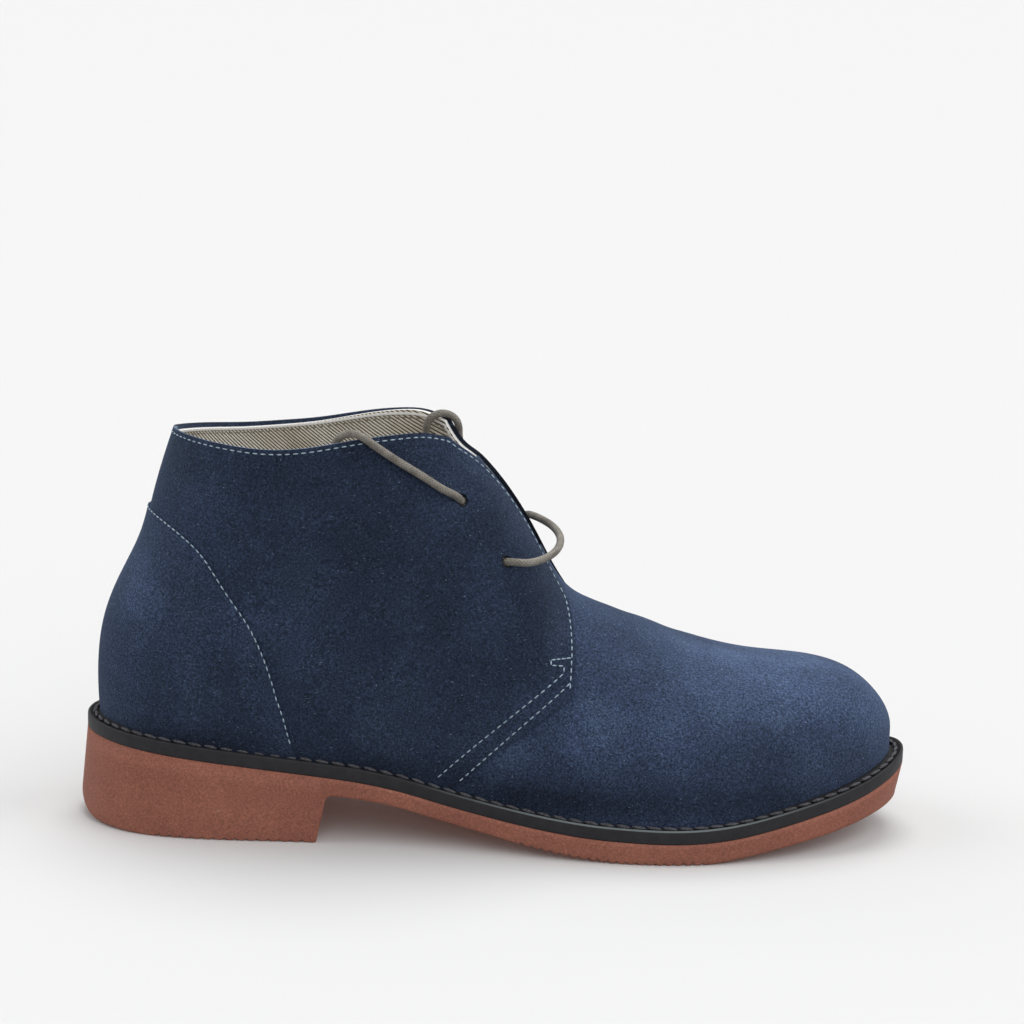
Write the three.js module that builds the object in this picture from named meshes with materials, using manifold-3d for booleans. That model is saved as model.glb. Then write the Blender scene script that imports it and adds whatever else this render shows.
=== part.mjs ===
// A suede chukka boot for the right foot, in millimetres, +Z up, toe towards +X, the foot's inner (medial)
// side at +Y. The boot is drawn from its heel end, x = 0, and the group shifts it so that the origin is
// under the middle of the sole.
// Pieces: outsole with its heel, welt, insole, upper (vamp and both quarters), heel counter, tongue and
// lace.
import * as THREE from "three";
import { mergeVertices } from "three/addons/utils/BufferGeometryUtils.js";
import Module from "manifold-3d";

const wasm = await Module();
wasm.setup();

// ---- Driving dimensions ----
const LENGTH = 305; // sole, heel end to toe tip
const BALL_WIDTH = 106; // sole, across the ball
const INSTEP = 88; // top of the vamp at the throat, above the floor
const COLLAR_BACK = 145; // collar at the back seam, above the floor
const BREAST = 92; // heel end to the top of the heel's front face

// ---- Thicknesses and gaps ----
const GAP = 0.3; // between pieces that touch
const WELT = 4.9;
const INSOLE = 3;
const LEDGE = 4.2; // how far the welt stands out past the upper
const WALL = 2.2; // vamp, suede and lining
const LAP = 1; // the quarters lie this much proud of the vamp
const QUARTER = 2.8; // quarters, suede and lining
const COUNTER = 1.1;
const TONGUE = 1.8;
const LACE = 2.8; // diameter
const LACE_HOLE = 4;

const clamp = (v, low, high) => Math.min(high, Math.max(low, v));
const steps = (n, low = 0, high = 1) => Array.from({ length: n + 1 }, (_, i) => low + ((high - low) * i) / n);
const ease = (v) => {
  const c = clamp(v, 0, 1);
  return c * c * (3 - 2 * c);
};

// A natural cubic spline through [place, value] pairs.
function spline(points) {
  const n = points.length - 1;
  const h = steps(n - 1, 0, n - 1).map((i) => points[i + 1][0] - points[i][0]);
  const slope = h.map((step, i) => (points[i + 1][1] - points[i][1]) / step);
  const bend = new Array(n + 1).fill(0);
  const upper = new Array(n + 1).fill(0);
  for (let i = 1; i < n; i++) {
    const pivot = 2 * (h[i - 1] + h[i]) - h[i - 1] * upper[i - 1];
    upper[i] = h[i] / pivot;
    bend[i] = (6 * (slope[i] - slope[i - 1]) - h[i - 1] * bend[i - 1]) / pivot;
  }
  for (let i = n - 1; i > 0; i--) bend[i] -= upper[i] * bend[i + 1];
  return (place) => {
    const p = clamp(place, points[0][0], points[n][0]);
    let i = 0;
    while (i < n - 1 && p > points[i + 1][0]) i++;
    const a = (points[i + 1][0] - p) / h[i];
    const b = 1 - a;
    const cubic = ((a ** 3 - a) * bend[i] + (b ** 3 - b) * bend[i + 1]) * (h[i] ** 2 / 6);
    return a * points[i][1] + b * points[i + 1][1] + cubic;
  };
}

// ---- Stations: an angle from 0 at the heel end to PI at the toe tip, so that both ends come out round ----
const turnAt = (percent) => Math.acos(clamp(1 - percent / 50, -1, 1));
const column = (rows, name) => spline(rows.map((row) => [turnAt(row.at), row[name]]));

// Sole outline: at is in % of LENGTH, the half widths from the bent axis are in % of BALL_WIDTH.
const PLAN = [
  { at: 0, lateral: 0, medial: 0 },
  { at: 2, lateral: 16.6, medial: 16.4 },
  { at: 6, lateral: 26.8, medial: 26.2 },
  { at: 12, lateral: 32.4, medial: 31.6 },
  { at: 20, lateral: 34, medial: 32.8 },
  { at: 28, lateral: 34, medial: 31 },
  { at: 36, lateral: 35, medial: 28.6 },
  { at: 46, lateral: 39.5, medial: 29.5 },
  { at: 56, lateral: 46.5, medial: 35.6 },
  { at: 64, lateral: 51.2, medial: 41 },
  { at: 71, lateral: 52.8, medial: 44.6 },
  { at: 79, lateral: 49.6, medial: 45.3 },
  { at: 86, lateral: 43, medial: 41 },
  { at: 92, lateral: 34, medial: 33.4 },
  { at: 96.5, lateral: 23.4, medial: 23.4 },
  { at: 99, lateral: 12.8, medial: 12.8 },
  { at: 100, lateral: 0, medial: 0 },
];
const planHalf = { [-1]: column(PLAN, "lateral"), [1]: column(PLAN, "medial") };
const soleHalf = (turn, side) => (planHalf[side](turn) * BALL_WIDTH) / 100;
const TOE_SWING = 6; // the axis bends this far inwards by the toe tip
const axisY = (x) => TOE_SWING * ease((x / LENGTH - 0.35) / 0.65);

// Side view of the sole: at is in % of LENGTH; top is the outsole's upper face and under its underside with
// no heel, both in mm above the floor. The forefoot's flat spot runs where under is 0.
const PROFILE = [
  { at: 0, top: 33, under: 25 },
  { at: 7, top: 31.6, under: 24 },
  { at: 13, top: 29.8, under: 22.6 },
  { at: 20, top: 27.6, under: 20.8 },
  { at: 26, top: 25.6, under: 18.8 },
  { at: 31, top: 24, under: 17.4 },
  { at: 35.5, top: 22.3, under: 16 },
  { at: 39, top: 20.4, under: 14.2 },
  { at: 44, top: 16.9, under: 10.6 },
  { at: 49, top: 13.8, under: 7.4 },
  { at: 53.5, top: 11.5, under: 4.4 },
  { at: 58, top: 9.7, under: 2 },
  { at: 62, top: 8.6, under: 0.7 },
  { at: 66, top: 8.1, under: 0 },
  { at: 75, top: 8, under: 0 },
  { at: 80, top: 9.6, under: 2 },
  { at: 85, top: 12.5, under: 4.6 },
  { at: 90, top: 15.7, under: 7 },
  { at: 95, top: 19.7, under: 9.8 },
  { at: 100, top: 25.4, under: 13 },
];
const profile = (name) => spline(PROFILE.map((row) => [(row.at * LENGTH) / 100, row[name]]));
const outsoleTop = profile("top");
const underCurve = profile("under");
const sharesFlat = (x) => x > 0.66 * LENGTH && x < 0.75 * LENGTH;
const waistUnder = (x) => (sharesFlat(x) ? 0 : Math.max(0, underCurve(x)));
const weltTop = (x) => outsoleTop(x) + GAP + WELT;
const featherZ = (x) => weltTop(x) + GAP;

// ---- Heel: flat underneath, rolled up and rounded at its back, and a little longer below than above ----
const BREAST_RAKE = 3.5;
const HEEL_ROLL = { length: 34, rise: 2 };
const HEEL_ROUND = 8;
const HEEL_FLARE = { back: 2, side: 1 };
const TOE_RAKE = 2.2; // the outsole's lower edge stops this short of its upper edge at the toe tip
const heelUnder = (x) => {
  const roll = HEEL_ROLL.rise * clamp(1 - x / HEEL_ROLL.length, 0, 1) ** 2;
  const reach = clamp(1 - x / HEEL_ROUND, 0, 1);
  return roll + HEEL_ROUND * (1 - Math.sqrt(1 - reach * reach));
};
const seatX = (x) => x + HEEL_FLARE.back * (1 - ease(x / 60));
const treadX = (x) => x - TOE_RAKE * ease((x - 255) / (LENGTH - 255));

// ---- The last, as the outside of the vamp leather ----
const BACK_X = HEEL_FLARE.back + LEDGE + LAP + 0.4;
const TOE_X = LENGTH - LEDGE - 1;
const stationX = (turn) => BACK_X + ((TOE_X - BACK_X) * (1 - Math.cos(turn))) / 2;
const turnOf = (x) => Math.acos(clamp(1 - (2 * (x - BACK_X)) / (TOE_X - BACK_X), -1, 1));

// Sections: at is in % of the last's length; ridge is the height of the top, in % of INSTEP; the swells are
// how much wider than the feather line the widest part is, in %; widest is its height above the feather line,
// in mm; fullness is the exponent of the arch over it, where 2 is an ellipse and more is squarer.
const SECTIONS = [
  { at: 0, ridge: 318, lateral: 5, medial: 5, widest: 22, fullness: 2.2 },
  { at: 12, ridge: 318, lateral: 5, medial: 6, widest: 22, fullness: 2.2 },
  { at: 26, ridge: 292, lateral: 8, medial: 18, widest: 22, fullness: 2.2 },
  { at: 36, ridge: 226, lateral: 8, medial: 26, widest: 20, fullness: 2.1 },
  { at: 43, ridge: 177.5, lateral: 2, medial: 20, widest: 20, fullness: 2.0 },
  { at: 46.5, ridge: 160.6, lateral: 1, medial: 16, widest: 20, fullness: 1.98 },
  { at: 50, ridge: 145.4, lateral: 0, medial: 11, widest: 20, fullness: 1.95 },
  { at: 54, ridge: 123.6, lateral: 0, medial: 6, widest: 19, fullness: 1.95 },
  { at: 57.5, ridge: 103.6, lateral: 0, medial: 3, widest: 19, fullness: 1.95 },
  { at: 60.5, ridge: 96, lateral: 0, medial: 2, widest: 18, fullness: 1.95 },
  { at: 65, ridge: 90.2, lateral: 0, medial: 1, widest: 18, fullness: 2.0 },
  { at: 73, ridge: 80.2, lateral: 1, medial: 1, widest: 17, fullness: 2.1 },
  { at: 81, ridge: 73.2, lateral: 2, medial: 2, widest: 16, fullness: 2.2 },
  { at: 88, ridge: 71.2, lateral: 3, medial: 3, widest: 15, fullness: 2.25 },
  { at: 94, ridge: 66.9, lateral: 3, medial: 3, widest: 12.5, fullness: 2.2 },
  { at: 98, ridge: 57, lateral: 3, medial: 3, widest: 10, fullness: 2.1 },
  { at: 100, ridge: 42, lateral: 3, medial: 3, widest: 8, fullness: 2.0 },
];
const ridge = column(SECTIONS, "ridge");
const swell = { [-1]: column(SECTIONS, "lateral"), [1]: column(SECTIONS, "medial") };
const widest = column(SECTIONS, "widest");
const fullness = column(SECTIONS, "fullness");

// The back seam's outline; its lean over the heel fades out towards the instep.
const BACK_SEAM = [
  { z: 36, lean: 0.8 },
  { z: 44, lean: 0.2 },
  { z: 55, lean: 0 },
  { z: 66, lean: 0.8 },
  { z: 76, lean: 2.9 },
  { z: 87, lean: 7.1 },
  { z: 105, lean: 15.4 },
  { z: 120, lean: 19.4 },
  { z: 150, lean: 28.4 },
];
const LEAN_REACH = 150;
const backSeam = spline(BACK_SEAM.map((row) => [row.z, row.lean]));
const lean = (x, z) => backSeam(z) * (1 - ease((x - BACK_X) / LEAN_REACH));

// Share of the girth below the widest part, so that heights run evenly past it.
const lowerShare = (below, above) => below / (below + (above * Math.PI) / 2);

// A point of the last: turn is its station, girth runs from 0 at the feather line to 1 at the ridge, side is
// -1 for lateral and 1 for medial.
function lastPoint(turn, girth, side) {
  const x = stationX(turn);
  const sole = soleHalf(turn, side);
  const feather = sole - LEDGE * Math.tanh(sole / 16);
  const widestHalf = feather * (1 + swell[side](turn) / 100);
  const bottom = featherZ(x);
  const top = (ridge(turn) * INSTEP) / 100;
  const wide = Math.min(bottom + widest(turn), top);
  const lower = lowerShare(wide - bottom, top - wide);
  let half;
  let z;
  if (girth < lower) {
    const up = girth / lower;
    z = bottom + (wide - bottom) * up;
    half = feather + (widestHalf - feather) * Math.sin((up * Math.PI) / 2);
  } else {
    const angle = (((girth - lower) / (1 - lower)) * Math.PI) / 2;
    const power = 2 / fullness(turn);
    z = wide + (top - wide) * Math.sin(angle) ** power;
    half = widestHalf * Math.max(0, Math.cos(angle)) ** power;
  }
  return new THREE.Vector3(x + lean(x, z), axisY(x) + side * half, z);
}

// The last's outward normal. On the middle plane it stays in that plane.
function lastNormal(turn, girth, side) {
  const step = 1e-3;
  const t = clamp(turn, 2 * step, Math.PI - 2 * step);
  const g = clamp(girth, step, 1 - 4 * step);
  const along = lastPoint(t + step, g, side).sub(lastPoint(t - step, g, side));
  const around = lastPoint(t, g + step, side).sub(lastPoint(t, g - step, side));
  const normal = along.cross(around).multiplyScalar(-side).normalize();
  if (g !== girth && girth > 0.5) normal.y = 0;
  if (t !== turn) normal.y = 0;
  if (girth < step) normal.z = 0;
  return normal.normalize();
}
const lastOffset = (turn, girth, side, out) =>
  lastPoint(turn, girth, side).addScaledVector(lastNormal(turn, girth, side), out);

// The girth between low and 1 where a growing measure of the last at this turn reaches a goal.
function girthWhere(turn, side, low, measure, goal) {
  let high = 1;
  for (let i = 0; i < 40; i++) {
    const middle = (low + high) / 2;
    if (measure(lastPoint(turn, middle, side)) < goal) low = middle;
    else high = middle;
  }
  return (low + high) / 2;
}

// A place on the last is a turn and a girth. Edge points are given in the side view as x and z, or as x and
// how far apart they are from the middle plane.
const place = (turn, girth) => ({ turn, girth });
const apartAt = (turn, girth, side) => Math.abs(lastPoint(turn, girth, side).y - axisY(stationX(turn)));
const girthOf = {
  z: (turn, side, z) => girthWhere(turn, side, 0, (p) => p.z, z),
  apart: (turn, side, apart) =>
    girthWhere(turn, side, 0.4, (p) => -Math.abs(p.y - axisY(stationX(turn))), -apart),
};
function turnOfEdge({ x, z }) {
  if (z === undefined) return turnOf(x);
  let station = x;
  for (let i = 0; i < 60; i++) station = (station + x - lean(station, z)) / 2;
  return turnOf(Math.max(station, BACK_X));
}
const edgePlace = (row, side) => {
  const turn = turnOfEdge(row);
  const by = row.z === undefined ? "apart" : "z";
  return place(turn, girthOf[by](turn, side, row[by]));
};

const mix = (a, b, share) => place(a.turn + (b.turn - a.turn) * share, a.girth + (b.girth - a.girth) * share);

// A curve through edge points that share a second column, z or apart; its parameter runs evenly from 0 to 1.
function curveOf(rows, by, side) {
  const points = rows.map((row) => [turnOfEdge(row), row[by]]);
  const reach = [0];
  points.slice(1).forEach(([turn, value], i) => {
    reach.push(reach[i] + Math.hypot(((turn - points[i][0]) * LENGTH) / Math.PI, value - points[i][1]));
  });
  const along = (k) => spline(points.map((point, i) => [reach[i] / reach[points.length - 1], point[k]]));
  const [turn, value] = [along(0), along(1)];
  return (s) => place(turn(s), girthOf[by](turn(s), side, value(s)));
}

// ---- Panel edges, in the side view ----
// How far each side's collar rises above its back.
const COLLAR = [
  { x: 34, lateral: 0, medial: 0 },
  { x: 45, lateral: -0.4, medial: -2.4 },
  { x: 58, lateral: -1.2, medial: -3.3 },
  { x: 71, lateral: -1.6, medial: -2.8 },
  { x: 84, lateral: -0.4, medial: -1.6 },
  { x: 100, lateral: 2.6, medial: 1.3 },
  { x: 116, lateral: 4.6, medial: 3.9 },
  { x: 126, lateral: 4.2, medial: 4 },
  { x: 133, lateral: 1.8, medial: 1.8 },
];
function collarRows(side) {
  return COLLAR.map((row) => ({ x: row.x, z: COLLAR_BACK + (side < 0 ? row.lateral : row.medial) }));
}
const FACING = [
  { x: 138, apart: 13.5 },
  { x: 144, apart: 10.5 },
  { x: 152, apart: 8.3 },
  { x: 160, apart: 7.5 },
  { x: 168, apart: 8 },
  { x: 175, apart: 10.5 },
  { x: 178.6, apart: 17 },
  { x: 180.4, apart: 26 },
  { x: 181, apart: 32 },
];
const SEAM_CORNER = { x: 180.8, z: 58 };
const SEAM_FOOT = 137;
const SEAM = [{ x: 152.5, z: 35.4 }, { x: 162, z: 43.4 }, { x: 172, z: 51.4 }];
// Shares of a quarter's rows that end on the collar rather than the facing, and on the feather line, not the
// seam.
const COLLAR_SHARE = 14 / 28;
const FEATHER_SHARE = 19 / 28;

// ---- Meshes ----
function solidFrom(geometry) {
  geometry.deleteAttribute("normal");
  geometry.deleteAttribute("uv");
  const merged = mergeVertices(geometry, 1e-4);
  const index = [];
  for (let i = 0; i < merged.index.count; i += 3) {
    const [a, b, c] = [0, 1, 2].map((k) => merged.index.getX(i + k));
    if (a !== b && b !== c && a !== c) index.push(a, b, c);
  }
  const data = { numProp: 3, vertProperties: new Float32Array(merged.attributes.position.array) };
  return new wasm.Manifold(new wasm.Mesh({ ...data, triVerts: new Uint32Array(index) }));
}

function solidFromTriangles(positions) {
  const loose = new THREE.BufferGeometry();
  loose.setAttribute("position", new THREE.Float32BufferAttribute(positions, 3));
  return solidFrom(loose);
}

// Two triangles between four corners given anticlockwise as seen from outside.
function quad(out, a, b, c, d) {
  for (const p of [a, b, c, a, c, d]) out.push(p.x, p.y, p.z);
}

// A closed sheet between an outer and an inner grid of points. The outer grid's rows cross its columns
// anticlockwise as seen from outside. zipped says that the last row lies on itself, so it gets no wall.
function sheetSolid(outer, inner, zipped = false) {
  const out = [];
  const rows = outer.length - 1;
  const columns = outer[0].length - 1;
  for (let i = 0; i < rows; i++) {
    for (let j = 0; j < columns; j++) {
      quad(out, outer[i][j], outer[i + 1][j], outer[i + 1][j + 1], outer[i][j + 1]);
      quad(out, inner[i][j], inner[i][j + 1], inner[i + 1][j + 1], inner[i + 1][j]);
    }
    quad(out, outer[i][0], inner[i][0], inner[i + 1][0], outer[i + 1][0]);
    quad(out, outer[i][columns], outer[i + 1][columns], inner[i + 1][columns], inner[i][columns]);
  }
  for (let j = 0; j < columns; j++) {
    quad(out, outer[0][j], outer[0][j + 1], inner[0][j + 1], inner[0][j]);
    if (!zipped) quad(out, outer[rows][j], inner[rows][j], inner[rows][j + 1], outer[rows][j + 1]);
  }
  return solidFromTriangles(out);
}

// A sheet over the last between two offsets: placeAt(u, v) gives side, turn and girth.
function panelSolid(us, vs, placeAt, outerOut, innerOut, zipped) {
  const grid = (out) =>
    us.map((u) =>
      vs.map((v) => {
        const { side, turn, girth } = placeAt(u, v);
        return lastOffset(clamp(turn, 0, Math.PI), clamp(girth, 0, 1), side, out);
      }),
    );
  return sheetSolid(grid(outerOut), grid(innerOut), zipped);
}

// ---- Quarters: both sides in one sheet round the back seam ----
// One side's patch: p runs from the back seam to the seam's corner, q from the bottom edge to the top edge.
// The top edge is the collar and then the facing, the bottom edge the feather line and then the seam.
function quarterPatch(side) {
  const end = (row) => {
    const at = edgePlace(row, side);
    return { x: stationX(at.turn), apart: apartAt(at.turn, at.girth, side) };
  };
  const rows = collarRows(side);
  const facing = curveOf([end(rows[rows.length - 1]), ...FACING, end(SEAM_CORNER)], "apart", side);
  const collar = curveOf(rows, "z", side);
  const foot = place(turnOf(SEAM_FOOT), 0);
  const seam = curveOf([{ x: SEAM_FOOT, z: featherZ(SEAM_FOOT) }, ...SEAM, SEAM_CORNER], "z", side);
  const joined = (first, second, share) => (p) =>
    p < share ? first(p / share) : second((p - share) / (1 - share));
  const top = joined(collar, facing, COLLAR_SHARE);
  const bottom = joined((s) => place(foot.turn * s, 0), seam, FEATHER_SHARE);
  return (p, q) => mix(bottom(p), top(p), q);
}
const quarterPatches = { [-1]: quarterPatch(-1), [1]: quarterPatch(1) };
const quarterPlace = (p, q) => ({ side: p < 0 ? -1 : 1, ...quarterPatches[p < 0 ? -1 : 1](Math.abs(p), q) });
const quarters = panelSolid(steps(56, 1, -1), steps(14), quarterPlace, LAP, LAP - QUARTER);

// ---- Vamp: from under the quarters to the toe ----
const VAMP_LAP = 9; // it reaches this far back under the quarters
const VAMP_THROAT = 168; // its back edge on the ridge
function vampPlace(share, around) {
  const side = around < 0 ? -1 : 1;
  const girth = 1 - Math.abs(around);
  const foot = turnOf(SEAM_FOOT - VAMP_LAP);
  const throat = turnOf(VAMP_THROAT);
  const start = foot + (throat - foot) * Math.min(1, girth / 0.62);
  return { side, girth, turn: start + (Math.PI - start) * share };
}
const vamp = panelSolid(steps(20), steps(28, -1, 1), vampPlace, 0, -WALL, true);

// ---- Lace holes ----
const HOLES = [
  { name: "upper", x: 138.9, z: 125.2 },
  { name: "lower", x: 155.6, z: 103.6 },
];
const holePoint = (hole, side, out) => {
  const at = edgePlace(hole, side);
  return lastOffset(at.turn, at.girth, side, out);
};

// A round bar between two points.
function bar(from, to, diameter, sides = 12) {
  const geometry = new THREE.CylinderGeometry(diameter / 2, diameter / 2, from.distanceTo(to), sides);
  geometry.rotateX(Math.PI / 2);
  geometry.lookAt(to.clone().sub(from));
  geometry.translate(...from.clone().add(to).multiplyScalar(0.5));
  return solidFrom(geometry);
}

let upper = quarters.add(vamp);
for (const hole of HOLES) {
  for (const side of [-1, 1]) {
    upper = upper.subtract(bar(holePoint(hole, side, 4), holePoint(hole, side, -6), LACE_HOLE));
  }
}

// ---- Heel counter: a thin overlay round the back of the quarters ----
const COUNTER_EDGE = [
  { x: 81.9, z: 33.6 },
  { x: 79, z: 44.8 },
  { x: 76, z: 57.6 },
  { x: 72.2, z: 72.2 },
  { x: 67.4, z: 85.6 },
  { x: 59.2, z: 98.6 },
  { x: 47.2, z: 112.4 },
];
const COUNTER_TOP = 122; // at the back seam
const counterTop = place(0, girthOf.z(0, 1, COUNTER_TOP));
const counterEdge = (side) =>
  curveOf([...COUNTER_EDGE, { x: BACK_X + backSeam(COUNTER_TOP), z: COUNTER_TOP }], "z", side);
const counterEdges = { [-1]: counterEdge(-1), [1]: counterEdge(1) };
function counterPlace(p, q) {
  const side = p < 0 ? -1 : 1;
  const low = 0.003;
  const at = mix(place(0, counterTop.girth * q), counterEdges[side](q), Math.abs(p));
  return { side, turn: at.turn, girth: low + (1 - low) * at.girth };
}
const counterOut = LAP + GAP + 0.3;
const counter = panelSolid(steps(30, 1, -1), steps(12), counterPlace, counterOut + COUNTER, counterOut);

// ---- Tongue: under the facings, from under the vamp up to the collar ----
const TONGUE_OUT = LAP - QUARTER - GAP - 0.3;
const TONGUE_SIZE = { foot: 174, top: 146, corner: 10, footHalf: 15, topHalf: 22 };
function tonguePlace(along, across) {
  const { foot, top, corner, footHalf, topHalf } = TONGUE_SIZE;
  const x = foot + (top - corner * across ** 2 - foot) * along;
  const apart = Math.abs(across) * (footHalf + (topHalf - footHalf) * along);
  const side = across < 0 ? -1 : 1;
  return { side, ...(across === 0 ? place(turnOf(x), 1) : edgePlace({ x, apart }, side)) };
}
const tongue = panelSolid(steps(14), steps(12, 1, -1), tonguePlace, TONGUE_OUT, TONGUE_OUT - TONGUE);

// ---- Sole pieces: slabs between rings of points low lateral, low medial, high medial, high lateral ----
function slab(rings) {
  const out = [];
  rings.slice(0, -1).forEach((here, i) => {
    const next = rings[i + 1];
    here.forEach((_, k) => quad(out, here[k], here[(k + 1) % 4], next[(k + 1) % 4], next[k]));
  });
  const [first, last] = [rings[0], rings[rings.length - 1]];
  quad(out, first[0], first[3], first[2], first[1]);
  quad(out, last[0], last[1], last[2], last[3]);
  return solidFromTriangles(out);
}
const edgeY = (x, side) => axisY(x) + side * soleHalf(turnAt((100 * x) / LENGTH), side);
const END = 0.02; // the outline's ends stop this short of closing
const soleXs = steps(64, 0, Math.PI).map((turn) =>
  clamp((LENGTH * (1 - Math.cos(turn))) / 2, END, LENGTH - END),
);
const point = (x, y, z) => new THREE.Vector3(x, y, z);

function outsoleRing(x) {
  const heel = x < BREAST - BREAST_RAKE / 2;
  const low = heel ? heelUnder(x) : waistUnder(x);
  const flare = heel ? HEEL_FLARE.side : 0;
  const topX = seatX(x);
  return [
    point(treadX(x), edgeY(x, -1) - flare, low),
    point(treadX(x), edgeY(x, 1) + flare, low),
    point(topX, edgeY(x, 1), outsoleTop(topX)),
    point(topX, edgeY(x, -1), outsoleTop(topX)),
  ];
}
const outsoleXs = [
  ...soleXs.filter((x) => x < BREAST - BREAST_RAKE - 1),
  BREAST - BREAST_RAKE,
  BREAST,
  ...soleXs.filter((x) => x > BREAST + 1),
];
const outsole = slab(outsoleXs.map(outsoleRing));

const welt = slab(
  soleXs.map((at) => {
    const x = seatX(at);
    const corner = (side, z) => point(x, edgeY(at, side), z);
    const [low, high] = [outsoleTop(x) + GAP, weltTop(x)];
    return [corner(-1, low), corner(1, low), corner(1, high), corner(-1, high)];
  }),
);

const insole = slab(
  steps(48, 0.06, Math.PI - 0.06).map((turn) => {
    const rim = (side) => lastOffset(turn, 0, side, LAP - QUARTER - GAP - 1.5);
    const corner = (side, up) => point(rim(side).x, rim(side).y, featherZ(rim(side).x) + up);
    return [corner(-1, 0), corner(1, 0), corner(1, INSOLE), corner(-1, INSOLE)];
  }),
);

// ---- Lace: the bar between the lower holes, and the two ends from the upper holes over the collar ----
const sideOf = (x, z, side, out) => {
  const at = edgePlace({ x, z }, side);
  return lastOffset(at.turn, at.girth, side, out);
};
const RIDE = LAP + LACE / 2 + 0.4; // from the last to the middle of a lace lying on the quarter
const BAR = [
  holePoint(HOLES[1], -1, RIDE),
  point(159.4, -28.3, 104.2),
  point(163.6, -27.8, 104.1),
  point(168.3, -24.8, 104.7),
  point(172.7, -19.4, 106.2),
  point(174.8, -12, 108.6),
  point(173.2, -3, 110.8),
  point(169, 6, 112),
  point(164.4, 14, 112.2),
  point(160.8, 21.4, 109.8),
  holePoint(HOLES[1], 1, RIDE + 0.2),
];

function tube(points, diameter, sides, count) {
  const shape = new THREE.Shape();
  const path = new THREE.CatmullRomCurve3(points, false, "centripetal");
  shape.absarc(0, 0, diameter / 2, 0, Math.PI * 2);
  const settings = { steps: count, curveSegments: sides / 2, bevelEnabled: false, extrudePath: path };
  return solidFrom(new THREE.ExtrudeGeometry(shape, settings));
}

const LACE_LATERAL = [
  holePoint(HOLES[0], -1, RIDE + 0.2),
  sideOf(131, 129.2, -1, RIDE + 0.4),
  sideOf(124, 134.5, -1, RIDE),
  sideOf(117, 139.4, -1, RIDE),
  sideOf(110.5, 144, -1, RIDE),
  sideOf(106.5, 146.9, -1, RIDE),
  sideOf(103.2, 149.2, -1, RIDE - 0.5),
  sideOf(100.2, 150, -1, 0.4),
  sideOf(97.2, 149.4, -1, -2.1),
  sideOf(94.6, 147, -1, -4.2),
  sideOf(92.6, 143, -1, -5.2),
  sideOf(91, 137.5, -1, -5.4),
  sideOf(89.9, 131, -1, -5.3),
  sideOf(89, 124, -1, -5.2),
  sideOf(88.4, 116, -1, -5.2),
];
const LACE_MEDIAL = [
  holePoint(HOLES[0], 1, RIDE + 0.2),
  sideOf(137.4, 130.4, 1, RIDE),
  sideOf(136, 135.6, 1, RIDE),
  sideOf(135.1, 139.6, 1, RIDE),
  point(136.6, 18.1, 143.3),
  point(135.8, 17.2, 146.3),
  point(133.6, 16.5, 148.5),
  point(130.6, 16, 149.3),
  point(127.6, 15.7, 148.5),
  point(125.4, 15.7, 146.3),
  point(124.6, 16, 143.3),
  point(124.1, 16.8, 139.4),
  point(123.8, 17.8, 135.4),
  point(123.5, 18.9, 130.9),
  point(123.3, 19.8, 126.6),
];

// ---- The boot ----
const finish = (color, roughness) => new THREE.MeshStandardMaterial({ color, roughness, metalness: 0 });
const suede = finish(0x2c3a52, 0.95);
const lace = finish(0x8f887c, 0.85);
const boot = new THREE.Group();
function addPiece(name, solid, material) {
  const mesh = solid.getMesh();
  const geometry = new THREE.BufferGeometry();
  geometry.setAttribute("position", new THREE.BufferAttribute(mesh.vertProperties, 3));
  geometry.setIndex(new THREE.BufferAttribute(mesh.triVerts, 1));
  const piece = new THREE.Mesh(geometry.toNonIndexed(), material);
  piece.name = name;
  boot.add(piece);
}
addPiece("outsole", outsole, finish(0x8f5b49, 0.7));
addPiece("welt", welt, finish(0x35343a, 0.6));
addPiece("insole", insole, finish(0xb9a98a, 0.8));
addPiece("upper", upper, suede);
addPiece("heel_counter", counter, suede);
addPiece("tongue", tongue, suede);
addPiece("lace_bar", tube(BAR, LACE, 8, 30), lace);
addPiece("lace_end_lateral", tube(LACE_LATERAL, LACE, 8, 34), lace);
addPiece("lace_end_medial", tube(LACE_MEDIAL, LACE, 8, 26), lace);
boot.position.set(-LENGTH / 2, 0, 0);
export default boot;
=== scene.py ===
import functools
import math

import bmesh
import bpy
import numpy as np
from mathutils import Matrix, Vector
from mathutils.bvhtree import BVHTree


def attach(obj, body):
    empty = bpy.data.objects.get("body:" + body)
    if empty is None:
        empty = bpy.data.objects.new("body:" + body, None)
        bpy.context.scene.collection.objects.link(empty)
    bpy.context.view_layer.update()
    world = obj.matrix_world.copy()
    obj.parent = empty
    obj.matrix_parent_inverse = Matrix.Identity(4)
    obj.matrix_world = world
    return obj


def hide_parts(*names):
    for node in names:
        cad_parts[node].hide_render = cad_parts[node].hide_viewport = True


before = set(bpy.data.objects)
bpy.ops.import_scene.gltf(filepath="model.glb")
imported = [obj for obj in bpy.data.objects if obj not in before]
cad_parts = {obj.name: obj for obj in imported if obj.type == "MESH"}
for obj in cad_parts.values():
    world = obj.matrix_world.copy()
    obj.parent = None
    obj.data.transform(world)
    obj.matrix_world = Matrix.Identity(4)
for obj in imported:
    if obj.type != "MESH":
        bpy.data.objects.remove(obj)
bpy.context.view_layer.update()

MM = 0.001
LATERAL, MEDIAL = -1, 1
SIDES = {"lateral": LATERAL, "medial": MEDIAL}

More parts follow.
